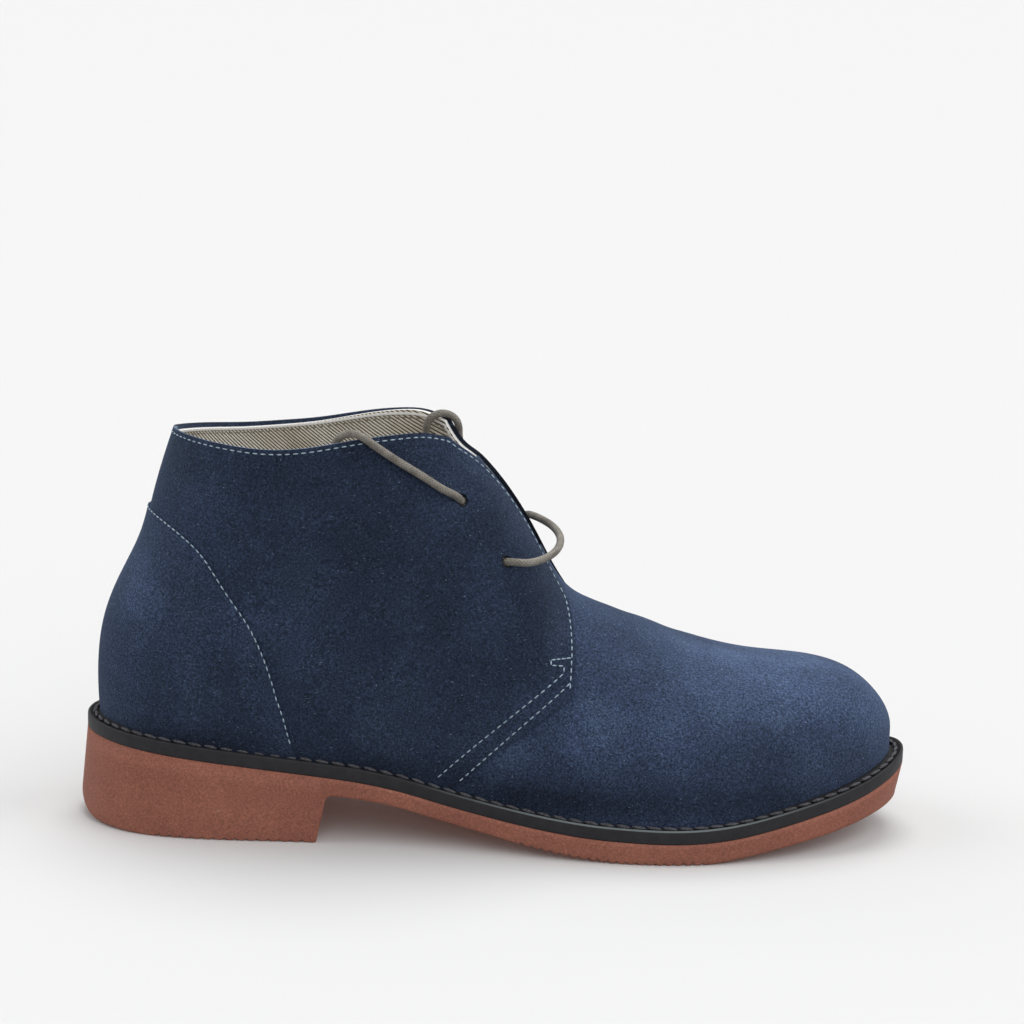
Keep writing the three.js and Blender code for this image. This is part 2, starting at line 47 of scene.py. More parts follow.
# ---- Driving dimensions, as in the construction ----
LENGTH = 305
BALL_WIDTH = 106
INSTEP = 88
COLLAR_BACK = 145
BREAST = 92
GAP = 0.3
WELT = 4.9
INSOLE = 3
LEDGE = 4.2
LAP = 1
QUARTER = 2.8
LACE = 2.8
LACE_HOLE = 4
TOE_SWING = 6
HEEL_ROLL = {"length": 34, "rise": 2}
HEEL_ROUND = 8
HEEL_FLARE = {"back": 2, "side": 1}
TOE_RAKE = 2.2
BACK_X = HEEL_FLARE["back"] + LEDGE + LAP + 0.4
TOE_X = LENGTH - LEDGE - 1
LEAN_REACH = 150
TUCK = -0.022  # girth at which the upper's lower edge tucks in behind the welt

# ---- Leather thicknesses ----
SUEDE = 1.5
SKIVED = 1.0
VAMP_SUEDE = 1.3
COUNTER_SUEDE = 0.8
TONGUE_SUEDE = 1.7
LINING = 1.1
VAMP_LINING = 0.8
GLUE = 0.05


# ---- Tables, curves and the last ----
def table(columns, *rows):
    """A table's columns by name."""
    return dict(zip(columns.split(), np.array(rows, float).T))


def ease(value):
    c = np.clip(value, 0, 1)
    return c * c * (3 - 2 * c)


def spline(places, values):
    """A natural cubic spline through the values."""
    x, y = np.array(places, float), np.array(values, float)
    last = len(x) - 1
    h = np.diff(x)
    system, wanted = np.eye(last + 1), np.zeros(last + 1)
    for i in range(1, last):
        system[i, i - 1 : i + 2] = h[i - 1], 2 * (h[i - 1] + h[i]), h[i]
        wanted[i] = 6 * ((y[i + 1] - y[i]) / h[i] - (y[i] - y[i - 1]) / h[i - 1])
    bend = np.linalg.solve(system, wanted)

    def at(place):
        p = np.clip(place, x[0], x[-1])
        i = np.clip(np.searchsorted(x, p) - 1, 0, last - 1)
        a = (x[i + 1] - p) / h[i]
        b = 1 - a
        cubic = ((a**3 - a) * bend[i] + (b**3 - b) * bend[i + 1]) * h[i] ** 2 / 6
        return a * y[i] + b * y[i + 1] + cubic

    return at


def turn_at(percent):
    """Stations run as an angle from 0 at the heel end to pi at the toe tip."""
    return np.arccos(np.clip(1 - np.asarray(percent, float) / 50, -1, 1))


def column(rows, name):
    return spline(turn_at(rows["at"]), rows[name])


def by_side(rows):
    lateral, medial = column(rows, "lateral"), column(rows, "medial")
    return lambda turn, side: np.where(np.asarray(side) < 0, lateral(turn), medial(turn))


# Sole outline: at in % of LENGTH, half widths from the bent axis in % of BALL_WIDTH.
PLAN = table(
    "at lateral medial",
    (0, 0, 0),
    (2, 16.6, 16.4),
    (6, 26.8, 26.2),
    (12, 32.4, 31.6),
    (20, 34, 32.8),
    (28, 34, 31),
    (36, 35, 28.6),
    (46, 39.5, 29.5),
    (56, 46.5, 35.6),
    (64, 51.2, 41),
    (71, 52.8, 44.6),
    (79, 49.6, 45.3),
    (86, 43, 41),
    (92, 34, 33.4),
    (96.5, 23.4, 23.4),
    (99, 12.8, 12.8),
    (100, 0, 0),
)
plan_half = by_side(PLAN)


def sole_half(turn, side):
    return plan_half(turn, side) * BALL_WIDTH / 100


def axis_y(x):
    return TOE_SWING * ease((np.asarray(x) / LENGTH - 0.35) / 0.65)


# Side view of the sole: at in % of LENGTH, heights above the floor in mm.
PROFILE = table(
    "at top under",
    (0, 33, 25),
    (7, 31.6, 24),
    (13, 29.8, 22.6),
    (20, 27.6, 20.8),
    (26, 25.6, 18.8),
    (31, 24, 17.4),
    (35.5, 22.3, 16),
    (39, 20.4, 14.2),
    (44, 16.9, 10.6),
    (49, 13.8, 7.4),
    (53.5, 11.5, 4.4),
    (58, 9.7, 2),
    (62, 8.6, 0.7),
    (66, 8.1, 0),
    (75, 8, 0),
    (80, 9.6, 2),
    (85, 12.5, 4.6),
    (90, 15.7, 7),
    (95, 19.7, 9.8),
    (100, 25.4, 13),
)
outsole_top = spline(PROFILE["at"] * LENGTH / 100, PROFILE["top"])
under_curve = spline(PROFILE["at"] * LENGTH / 100, PROFILE["under"])


def waist_under(x):
    flat = (x > 0.66 * LENGTH) & (x < 0.75 * LENGTH)
    return np.where(flat, 0, np.maximum(0, under_curve(x)))


def heel_under(x):
    roll = HEEL_ROLL["rise"] * np.clip(1 - x / HEEL_ROLL["length"], 0, 1) ** 2
    reach = np.clip(1 - x / HEEL_ROUND, 0, 1)
    return roll + HEEL_ROUND * (1 - np.sqrt(1 - reach * reach))


def welt_top(x):
    return outsole_top(x) + GAP + WELT


def feather_z(x):
    return welt_top(x) + GAP


def seat_x(x):
    return x + HEEL_FLARE["back"] * (1 - ease(x / 60))


def tread_x(x):
    return x - TOE_RAKE * ease((x - 255) / (LENGTH - 255))


def station_x(turn):
    return BACK_X + (TOE_X - BACK_X) * (1 - np.cos(turn)) / 2


def turn_of(x):
    return np.arccos(np.clip(1 - 2 * (np.asarray(x, float) - BACK_X) / (TOE_X - BACK_X), -1, 1))


# Sections of the last: at in % of its length, ridge in % of INSTEP, the swells in % past the feather line,
# widest in mm above it, and fullness as the arch's exponent.
SECTIONS = table(
    "at ridge lateral medial widest fullness",
    (0, 318, 5, 5, 22, 2.2),
    (12, 318, 5, 6, 22, 2.2),
    (26, 292, 8, 18, 22, 2.2),
    (36, 226, 8, 26, 20, 2.1),
    (43, 177.5, 2, 20, 20, 2.0),
    (46.5, 160.6, 1, 16, 20, 1.98),
    (50, 145.4, 0, 11, 20, 1.95),
    (54, 123.6, 0, 6, 19, 1.95),
    (57.5, 103.6, 0, 3, 19, 1.95),
    (60.5, 96, 0, 2, 18, 1.95),
    (65, 90.2, 0, 1, 18, 2.0),
    (73, 80.2, 1, 1, 17, 2.1),
    (81, 73.2, 2, 2, 16, 2.2),
    (88, 71.2, 3, 3, 15, 2.25),
    (94, 66.9, 3, 3, 12.5, 2.2),
    (98, 57, 3, 3, 10, 2.1),
    (100, 42, 3, 3, 8, 2.0),
)
ridge = column(SECTIONS, "ridge")
swell = by_side(SECTIONS)
widest = column(SECTIONS, "widest")
fullness = column(SECTIONS, "fullness")

BACK_SEAM = table(
    "z lean",
    (36, 0.8),
    (44, 0.2),
    (55, 0),
    (66, 0.8),
    (76, 2.9),
    (87, 7.1),
    (105, 15.4),
    (120, 19.4),
    (150, 28.4),
)
back_seam = spline(BACK_SEAM["z"], BACK_SEAM["lean"])


def lean(x, z):
    return back_seam(z) * (1 - ease((x - BACK_X) / LEAN_REACH))


def last_point(turn, girth, side):
    """Points of the last: girth runs from 0 at the feather line to 1 at the ridge."""
    x = station_x(turn)
    sole = sole_half(turn, side)
    feather = sole - LEDGE * np.tanh(sole / 16)
    widest_half = feather * (1 + swell(turn, side) / 100)
    bottom = feather_z(x)
    top = ridge(turn) * INSTEP / 100
    wide = np.minimum(bottom + widest(turn), top)
    below, above = wide - bottom, top - wide
    lower = below / (below + above * math.pi / 2)
    up = np.minimum(girth / lower, 1)
    angle = np.clip((girth - lower) / (1 - lower), 0, 1) * math.pi / 2
    power = 2 / fullness(turn)
    low = girth < lower
    z = np.where(low, bottom + below * up, wide + above * np.sin(angle) ** power)
    low_half = feather + (widest_half - feather) * np.sin(up * math.pi / 2)
    half = np.where(low, low_half, widest_half * np.maximum(0, np.cos(angle)) ** power)
    return np.stack([x + lean(x, z), axis_y(x) + side * half, z], -1)


def run_along(points):
    """How far each point of a line is from its start."""
    return np.concatenate([[0], np.cumsum(np.linalg.norm(np.diff(points, axis=0), axis=1))])


def unit(vectors):
    return vectors / np.maximum(np.linalg.norm(vectors, axis=-1, keepdims=True), 1e-12)


def last_normal(turn, girth, side):
    step = 1e-3
    t = np.clip(turn, 2 * step, math.pi - 2 * step)
    g = np.clip(girth, step, 1 - 4 * step)
    along = last_point(t + step, g, side) - last_point(t - step, g, side)
    around = last_point(t, g + step, side) - last_point(t, g - step, side)
    normal = unit(np.cross(along, around) * -np.asarray(side)[..., None])
    middle = ((g != girth) & (girth > 0.5)) | (t != turn)
    normal[..., 1] = np.where(middle, 0, normal[..., 1])
    normal[..., 2] = np.where(girth < step, 0, normal[..., 2])
    return unit(normal)


def girth_where(turn, side, low, measure, goal):
    low = np.full(np.broadcast(turn, goal).shape, float(low))
    high = np.ones_like(low)
    for _ in range(40):
        middle = (low + high) / 2
        short = measure(last_point(turn, middle, side)) < goal
        low, high = np.where(short, middle, low), np.where(short, high, middle)
    return (low + high) / 2


def girth_of(by, turn, side, value):
    if by == "z":
        return girth_where(turn, side, 0, lambda p: p[..., 2], value)
    middle = axis_y(station_x(turn))
    return girth_where(turn, side, 0.4, lambda p: -np.abs(p[..., 1] - middle), -np.asarray(value))


def turn_of_edge(x, z=None):
    if z is None:
        return turn_of(x)
    station = np.array(x, float)
    for _ in range(60):
        station = (station + x - lean(station, z)) / 2
    return turn_of(np.maximum(station, BACK_X))


def edge_place(side, x, z=None, apart=None):
    turn = turn_of_edge(x, z)
    return turn, girth_of("apart", turn, side, apart) if z is None else girth_of("z", turn, side, z)


def curve_of(x, values, by, side):
    """A curve over the last through edge points; its parameter runs from 0 to 1."""
    turns = turn_of_edge(x, values if by == "z" else None)
    steps = np.hypot(np.diff(turns) * LENGTH / math.pi, np.diff(values))
    reach = np.concatenate([[0], np.cumsum(steps)]) / steps.sum()
    turn, value = spline(reach, turns), spline(reach, values)
    return lambda s: (turn(s), girth_of(by, turn(s), side, value(s)))


# ---- Panel edges in the side view, as in the construction ----
COLLAR = table(
    "x lateral medial",
    (34, 0, 0),
    (45, -0.4, -2.4),
    (58, -1.2, -3.3),
    (71, -1.6, -2.8),
    (84, -0.4, -1.6),
    (100, 2.6, 1.3),
    (116, 4.6, 3.9),
    (126, 4.2, 4),
    (133, 1.8, 1.8),
)
FACING = table(
    "x apart",
    (138, 13.5),
    (144, 10.5),
    (152, 8.3),
    (160, 7.5),
    (168, 8),
    (175, 10.5),
    (178.6, 17),
    (180.4, 26),
    (181, 32),
)
SEAM_FOOT = 137
SEAM_CORNER = (180.8, 58)
SEAM = table("x z", (152.5, 35.4), (162, 43.4), (172, 51.4), SEAM_CORNER)
COLLAR_SHARE = 14 / 28
FEATHER_SHARE = 19 / 28
COUNTER_EDGE = table(
    "x z",
    (81.9, 33.6),
    (79, 44.8),
    (76, 57.6),
    (72.2, 72.2),
    (67.4, 85.6),
    (59.2, 98.6),
    (47.2, 112.4),
)
COUNTER_TOP = 122
VAMP_LAP = 9
VAMP_THROAT = 168
TONGUE_SIZE = {"foot": 174, "top": 146, "corner": 10, "foot_half": 15, "top_half": 22}
HOLES = {"upper": (138.9, 125.2), "lower": (155.6, 103.6)}


def edge_end(side, x, z):
    """An edge point as x and how far it is from the middle plane."""
    turn, girth = edge_place(side, x, z)
    at = station_x(turn)
    return float(at), float(abs(last_point(turn, girth, side)[1] - axis_y(at)))


def joined(first, second, share):
    def at(p):
        one = first(np.clip(p / share, 0, 1))
        two = second(np.clip((p - share) / (1 - share), 0, 1))
        return tuple(np.where(p < share, a, b) for a, b in zip(one, two))

    return at


def quarter_edges(side):
    """The quarter's top edge, collar then facing, and its bottom edge, feather line then seam."""
    collar_z = COLLAR_BACK + COLLAR["lateral" if side < 0 else "medial"]
    ends = edge_end(side, COLLAR["x"][-1], collar_z[-1]), edge_end(side, *SEAM_CORNER)
    facing_x = np.concatenate([[ends[0][0]], FACING["x"], [ends[1][0]]])
    facing_apart = np.concatenate([[ends[0][1]], FACING["apart"], [ends[1][1]]])
    facing = curve_of(facing_x, facing_apart, "apart", side)
    collar = curve_of(COLLAR["x"], collar_z, "z", side)
    seam_x = np.concatenate([[SEAM_FOOT], SEAM["x"]])
    seam_z = np.concatenate([[feather_z(SEAM_FOOT)], SEAM["z"]])
    seam = curve_of(seam_x, seam_z, "z", side)
    foot = turn_of(SEAM_FOOT)
    feather = lambda s: (foot * s, TUCK * np.ones_like(s))
    return joined(collar, facing, COLLAR_SHARE), joined(feather, seam, FEATHER_SHARE)


quarter_edge = {side: quarter_edges(side) for side in SIDES.values()}


def mix(a, b, share):
    return tuple(one + (two - one) * share for one, two in zip(a, b))


# ---- Soft troughs and ridges of wear: from one point of the side view to another, width and depth in mm ----
CREASES = table(
    "side x0 z0 x1 z1 width depth",
    (-1, 190, 60, 197, 84, 6, 0.7),
    (-1, 203, 56, 212, 76, 7, 0.9),
    (-1, 217, 52, 227, 68, 7, 0.7),
    (-1, 42, 100, 62, 118, 10, 0.7),
    (-1, 60, 78, 84, 96, 11, 0.6),
    (-1, 118, 84, 146, 76, 12, 0.6),
    (1, 192, 58, 200, 82, 7, 0.8),
    (1, 208, 54, 218, 72, 8, 0.8),
    (1, 46, 96, 70, 112, 11, 0.8),
    (1, 112, 86, 142, 78, 12, 0.7),
)


def crease_depth(points):
    """How deep the creases run below the smooth last at each point."""
    deep = np.zeros(points.shape[:-1])
    for side, x0, z0, x1, z1, width, depth in zip(*CREASES.values()):
        start, end = (last_point(*edge_place(side, x, z=z), side) for x, z in ((x0, z0), (x1, z1)))
        line = end - start
        share = np.clip(((points - start) @ line) / (line @ line), 0, 1)
        away = np.linalg.norm(points - (start + share[..., None] * line), axis=-1)
        taper = 0.25 + 0.75 * np.sin(share * math.pi)
        deep += depth * taper * np.exp(-((away / width) ** 2) * 2)
    return deep


def hole_dimple(points):
    """The suede dips where the lace goes in."""
    deep = np.zeros(points.shape[:-1])
    for hole in HOLES.values():
        for side in SIDES.values():
            centre = last_point(*edge_place(side, hole[0], z=hole[1]), side)
            deep += 0.55 * np.exp(-((np.linalg.norm(points - centre, axis=-1) / 3.4) ** 2))
    return deep


def surface(turn, girth, side, out):
    """Points out mm outside the last, creases and all, in millimetres."""
    turn, girth = np.clip(turn, 0, math.pi), np.minimum(girth, 1)
    points = last_point(turn, girth, side)
    sunk = out - crease_depth(points) - hole_dimple(points)
    return points + last_normal(turn, girth, side) * np.asarray(sunk)[..., None]


# ---- Brushed patches, painted light and painted shade: centre and reach in the side view, and how much lighter or darker they are ----
BRUSHED_AND_PAINTED_LIGHT_PATCHES = table(
    "side x z along up tone",
    # Painted light: the light patch on the heel's back, and the light patches on the toe.
    (-1, 24, 84, 9, 22, 0.7),
    (-1, 36, 130, 9, 10, 0.2),
    (-1, 39, 91, 8, 9, -0.2),
    (-1, 54, 54, 11, 12, -0.25),
    (-1, 46, 118, 14, 14, 0.25),
    (-1, 68, 80, 12, 12, 0.35),
    (-1, 84, 67, 14, 12, 0.35),
    (-1, 82, 104, 9, 10, -0.2),
    (-1, 111, 88, 11, 14, -0.22),
    (-1, 108, 137, 22, 10, -0.15),
    (-1, 152, 118, 10, 14, -0.35),
    (-1, 167, 86, 11, 20, -0.4),
    (-1, 167, 54, 11, 7, 0.4),
    # Painted shade: the long dark strips along the lower edge beside the welt, here and on the medial side at
    # x 110.
    (-1, 46, 34, 26, 7, -0.55),
    (-1, 112, 27, 30, 7, -0.45),
    (-1, 165, 20, 28, 9, -0.62),
    (-1, 215, 21, 40, 8, -0.45),
    (-1, 258, 22, 16, 8, -0.35),
    (-1, 183, 44, 10, 8, 0.3),
    (-1, 211, 45, 10, 8, 0.25),
    (-1, 200, 66, 13, 8, -0.22),
    (-1, 234, 67, 20, 7, 0.4),
    (-1, 262, 60, 20, 8, 0.5),
    (-1, 286, 50, 13, 16, 0.38),
    (-1, 248, 39, 16, 9, -0.25),
    (1, 70, 84, 18, 18, 0.3),
    (1, 150, 100, 16, 18, -0.25),
    (1, 214, 60, 20, 9, -0.2),
    (1, 262, 58, 20, 9, 0.45),
    (1, 110, 28, 90, 7, -0.35),
)


def nap_and_painted_light(points, base):
    """How light the nap is at points in millimetres: brushed patches, painted light and painted shade."""
    change = np.zeros(len(points))
    beside = points[:, 1] - axis_y(points[:, 0])
    for side, x, z, along, up, tone in zip(*BRUSHED_AND_PAINTED_LIGHT_PATCHES.values()):
        near = np.exp(-(((points[:, 0] - x) / along) ** 2) - ((points[:, 2] - z) / up) ** 2)
        change += tone * near * ease(0.5 + side * beside / 8)
    return base * (1 + np.maximum(change, -0.7))


def to_frame(points):
    return (np.asarray(points, float) - np.array([LENGTH / 2, 0, 0])) * MM


# ---- Nodes and colours ----
def srgb(colour):
    """An sRGB hex value as linear red, green, blue and alpha."""
    values = [int(colour[i : i + 2], 16) / 255 for i in (1, 3, 5)]
    return (*(v / 12.92 if v <= 0.04045 else ((v + 0.055) / 1.055) ** 2.4 for v in values), 1)


def node(tree, kind, inputs, out=0, stops=(), **settings):
    """Adds a node and returns one of its outputs. An input is a value or another node's output, and stops are
    a colour ramp's places and colours."""
    made = tree.nodes.new("ShaderNode" + kind)
    for name, value in settings.items():
        setattr(made, name, value)
    for name, value in inputs.items():
        if isinstance(value, bpy.types.NodeSocket):
            tree.links.new(value, made.inputs[name])
        else:
            made.inputs[name].default_value = value
    elements = made.color_ramp.elements if stops else []
    while len(elements) < len(stops):
        elements.new(0.5)
    for element, (place, colour) in zip(elements, stops):
        element.position = place
        element.color = srgb(colour)
    return made.outputs[out]


# A noise texture's blobs are n mm across at scale 1000 / n. A wave texture's bands lie WAVE_PERIOD apart at
# scale 1.
MULTIPLY = {"data_type": "RGBA", "blend_type": "MULTIPLY"}
BLEND = {"data_type": "RGBA", "blend_type": "MIX"}
WAVE_PERIOD = math.pi / 10


def material(name):
    """A new material, what adds its nodes, and the boot's own coordinates to draw its patterns on."""
    made = bpy.data.materials.new(name)
    made.use_nodes = True
    made.node_tree.nodes.clear()
    add = functools.partial(node, made.node_tree)
    return made, add, add("TexCoord", {}, "Object")


def shade(made, inputs, height=None, depth_mm=0.1):
    """Gives a material its surface shader, with a bump of the given depth if there is a height."""
    tree = made.node_tree
    if height is not None:
        bump = {"Height": height, "Distance": depth_mm * MM, "Strength": 1.0}
        inputs = {**inputs, "Normal": node(tree, "Bump", bump, "Normal")}
    shader = node(tree, "BsdfPrincipled", inputs, "BSDF")
    tree.links.new(shader, tree.nodes.new("ShaderNodeOutputMaterial").inputs["Surface"])
    return made


def suede(name, deep, mid, bright):
    """Split cowhide, dyed and buffed to a velvet nap: no gloss, pale where the nap is seen edge on, brushed
    patches some 25 mm across, mottling of 3 mm, fibres drawn coarse at 0.75 mm, and pale specks of lint."""
    made, add, place = material(name)
    brushed = add("TexNoise", {"Vector": place, "Scale": 1000 / 24, "Detail": 3, "Roughness": 0.5})
    mottled = add("TexNoise", {"Vector": place, "Scale": 1000 / 3.2, "Detail": 3, "Roughness": 0.6})
    fibres = add("TexNoise", {"Vector": place, "Scale": 1000 / 0.75, "Detail": 4, "Roughness": 0.75})
    nap = add("Math", {0: brushed, 1: 0.88}, operation="MULTIPLY")
    nap = add("Math", {0: mottled, 1: 0.12, 2: nap}, operation="MULTIPLY_ADD")
    dye = add("ValToRGB", {"Fac": nap}, stops=[(0.34, deep), (0.5, mid), (0.68, bright)])
    dark_fibres = [(0.34, "#6e6e6e"), (0.5, "#bcbcbc"), (0.64, "#ffffff")]
    grain = add("ValToRGB", {"Fac": fibres}, stops=dark_fibres)
    colour = add("Mix", {0: 1.0, 6: dye, 7: grain}, 2, **MULTIPLY)
    # Painted light and shade: the tone attribute lightens or darkens the dye at each point.
    tone = add("Attribute", {}, "Fac", attribute_name="tone")
    colour = add("VectorMath", {0: colour, "Scale": tone}, operation="SCALE")
    long = add("Mapping", {"Vector": place, "Scale": (1, 1, 2.6)})
    specks = add("TexNoise", {"Vector": long, "Scale": 1000 / 0.75, "Detail": 0, "Roughness": 0.5})
    lint = add("ValToRGB", {"Fac": specks}, stops=[(0.79, "#000000"), (0.86, "#ffffff")])
    lint_amount = add("Math", {0: lint, 1: 0.5}, operation="MULTIPLY")
    colour = add("Mix", {0: lint_amount, 6: colour, 7: srgb("#a9bdd3")}, 2, **BLEND)
    height = add("Math", {0: fibres, 1: 0.8}, operation="MULTIPLY")
    height = add("Math", {0: mottled, 1: 0.4, 2: height}, operation="MULTIPLY_ADD")
    look = {"Base Color": colour, "Roughness": 0.95, "Specular IOR Level": 0.15}
    sheen = {"Sheen Weight": 0.26, "Sheen Roughness": 0.45, "Sheen Tint": srgb("#9db4d6")}
    return shade(made, {**look, **sheen}, height, 0.34)


def twill(name, warp, groove_shade, pitch_mm):
    """Undyed cotton twill: ridges of yarn, pitch_mm apart, cream on their crests and brown in between, the
    brown being painted shade in the grooves. They are slanted in the side view, and run on from panel to
    panel."""
    made, add, place = material(name)
    slant = (0, math.radians(53), math.radians(-25))
    turned = add("Mapping", {"Vector": place, "Rotation": slant})
    waves = {"Vector": turned, "Scale": WAVE_PERIOD / (pitch_mm * MM)}
    wobble = {"Distortion": 0.6, "Detail": 1.0, "Detail Scale": 0.8}
    ridges = add("TexWave", {**waves, **wobble}, "Fac", bands_direction="X")
    yarn = add("TexNoise", {"Vector": place, "Scale": 1000 / 0.5, "Detail": 2, "Roughness": 0.6})
    wear_and_painted_highlight = add("TexNoise", {"Vector": place, "Scale": 1000 / 14, "Detail": 2, "Roughness": 0.5})
    # Painted shade: brown in the grooves between the ridges.
    colour = add("ValToRGB", {"Fac": ridges}, stops=[(0.12, groove_shade), (0.42, warp)])
    fleck = add("ValToRGB", {"Fac": yarn}, stops=[(0.3, "#b9b4aa"), (0.65, "#ffffff")])
    colour = add("Mix", {0: 0.5, 6: colour, 7: fleck}, 2, **MULTIPLY)
    tone = add("ValToRGB", {"Fac": wear_and_painted_highlight}, stops=[(0.35, "#d8d2c4"), (0.65, "#ffffff")])
    colour = add("Mix", {0: 0.7, 6: colour, 7: tone}, 2, **MULTIPLY)
    height = add("Math", {0: yarn, 1: 0.35, 2: ridges}, operation="MULTIPLY_ADD")
    look = {"Base Color": colour, "Roughness": 0.9, "Specular IOR Level": 0.2, "Sheen Weight": 0.15}
    return shade(made, look, height, 0.16)


def moulded_rubber(name, base, dark, pale):
    """Solid moulded rubber, matt from the mould's spark-eroded grain, which is drawn coarse, at 0.7 mm, so
    that it shows. Pale dust lies in the grain."""
    made, add, place = material(name)
    cloudy = add("TexNoise", {"Vector": place, "Scale": 1000 / 22, "Detail": 3, "Roughness": 0.6})
    grain = add("TexNoise", {"Vector": place, "Scale": 1000 / 0.7, "Detail": 3, "Roughness": 0.65})
    colour = add("ValToRGB", {"Fac": cloudy}, stops=[(0.35, dark), (0.65, base)])
    speckle_stops = [(0.32, "#a8a8a8"), (0.52, "#d6d6d6"), (0.7, "#ffffff")]
    speckle = add("ValToRGB", {"Fac": grain}, stops=speckle_stops)
    colour = add("Mix", {0: 0.8, 6: colour, 7: speckle}, 2, **MULTIPLY)
    specks = add("TexNoise", {"Vector": place, "Scale": 1000 / 2.0, "Detail": 2, "Roughness": 0.6})
    dust = add("ValToRGB", {"Fac": specks}, stops=[(0.66, "#000000"), (0.8, "#ffffff")])
    dust_amount = add("Math", {0: dust, 1: 0.22}, operation="MULTIPLY")
    colour = add("Mix", {0: dust_amount, 6: colour, 7: srgb(pale)}, 2, **BLEND)
    look = {"Base Color": colour, "Roughness": 0.68, "IOR": 1.5, "Specular IOR Level": 0.35}
    return shade(made, look, grain, 0.07)


def welting(name, base, pale, wear_and_painted_highlight=None):
    """Extruded rubber welting: satin charcoal with slight scuffs, and beside the ball a painted highlight of
    the given colour, if any."""
    made, add, place = material(name)
    scuffs = add("TexNoise", {"Vector": place, "Scale": 1000 / 5, "Detail": 4, "Roughness": 0.7})
    grain = add("TexNoise", {"Vector": place, "Scale": 1000 / 0.5, "Detail": 2, "Roughness": 0.5})
    colour = add("ValToRGB", {"Fac": scuffs}, stops=[(0.4, base), (0.72, pale)])
    if wear_and_painted_highlight:
        # Painted highlight: the bead is lightened beside the ball and fades out towards the heel and the toe.
        along = add("SeparateXYZ", {0: place}, "X")
        share = add("MapRange", {0: along, 1: -30 * MM, 2: 130 * MM})
        beside = [(0.0, "#000000"), (0.3, "#e0e0e0"), (0.72, "#e0e0e0"), (1.0, "#000000")]
        painted_highlight_beside_ball = add("ValToRGB", {"Fac": share}, stops=beside)
        colour = add("Mix", {0: painted_highlight_beside_ball, 6: colour, 7: srgb(wear_and_painted_highlight)}, 2, **BLEND)
    look = {"Base Color": colour, "Roughness": 0.6, "IOR": 1.5, "Specular IOR Level": 0.3}
    return shade(made, look, grain, 0.04)


def thread(name, base, dark):
    """Twisted yarn, bonded polyester or bare cotton: slightly glossy, and dark between its 0.5 mm plies, as
    painted shade.
    """
    made, add, place = material(name)
    plies = add("TexNoise", {"Vector": place, "Scale": 1000 / 0.5, "Detail": 2, "Roughness": 0.5})
    # Painted shade: the yarn darkens where the plies' bump is low.
    colour = add("ValToRGB", {"Fac": plies}, stops=[(0.35, dark), (0.6, base)])
    return shade(made, {"Base Color": colour, "Roughness": 0.6, "Specular IOR Level": 0.4}, plies, 0.06)


def braided_cord(name, base, dark, pale, pitch_mm=0.9):
    """Waxed cotton lace, braided round from fine yarns that cross on a slant. It is drawn on the cord's UV
    map, which is in millimetres."""
    made, add, _ = material(name)
    place = add("UVMap", {}, "UV", uv_map="UVMap")
    slants = []
    for angle in (38, -38):
        turned = add("Mapping", {"Vector": place, "Rotation": (0, 0, math.radians(angle))})
        waves = {"Vector": turned, "Scale": WAVE_PERIOD / pitch_mm, "Distortion": 0.3}
        slants.append(add("TexWave", waves, "Fac", bands_direction="X"))
    braid = add("Math", {0: slants[0], 1: slants[1]}, operation="MAXIMUM")
    wax = add("TexNoise", {"Vector": place, "Scale": 1 / 5, "Detail": 3, "Roughness": 0.6})
    colour = add("ValToRGB", {"Fac": wax}, stops=[(0.3, dark), (0.5, base), (0.75, pale)])
    # Painted shade: darker between the crossing yarns, where the braid's bump is low.
    shade_between_yarns = add("ValToRGB", {"Fac": braid}, stops=[(0.2, "#9a958c"), (0.8, "#ffffff")])
    colour = add("Mix", {0: 0.6, 6: colour, 7: shade_between_yarns}, 2, **MULTIPLY)
    look = {"Base Color": colour, "Roughness": 0.62, "Specular IOR Level": 0.35, "Sheen Weight": 0.1}
    return shade(made, look, braid, 0.12)


def smooth_leather(name, base, dark):
    """Vegetable-tanned sock leather: smooth with a soft shine, and faint pores 1.4 mm apart."""
    made, add, place = material(name)
    tone = add("TexNoise", {"Vector": place, "Scale": 1000 / 30, "Detail": 3, "Roughness": 0.5})
    pores = add("TexVoronoi", {"Vector": place, "Scale": 1000 / 1.4}, "Distance")
    colour = add("ValToRGB", {"Fac": tone}, stops=[(0.35, dark), (0.65, base)])
    return shade(made, {"Base Color": colour, "Roughness": 0.55, "Specular IOR Level": 0.4}, pores, 0.08)


SUEDE_LOOK = suede("suede_nap", "#38455d", "#3f4d69", "#485874")
# Painted shade: a near-black cut edge along the seam. Painted highlight: a pale cut edge on the lateral
# collar and facing.
DARK_EDGE_AND_SEAM_SHADE_LOOK = suede("suede_dark_edge_and_seam_shade", "#161c28", "#1a2130", "#1f2838")
PAINTED_HIGHLIGHT_EDGE_LOOK = suede("suede_cut_edge_painted_highlight", "#7d8ea6", "#8c9eb6", "#9cadc4")
LINING_LOOK = twill("cotton_twill", "#fffaf0", "#3f372b", 0.92)
RAW_EDGE_LOOK = thread("raw_cotton_edge", "#ffffff", "#f3f0e8")
RUBBER_LOOK = moulded_rubber("moulded_rubber", "#b4735f", "#a86957", "#dcb5a4")
WELT_LOOK = welting("welting_rubber", "#202023", "#2a2a2e")
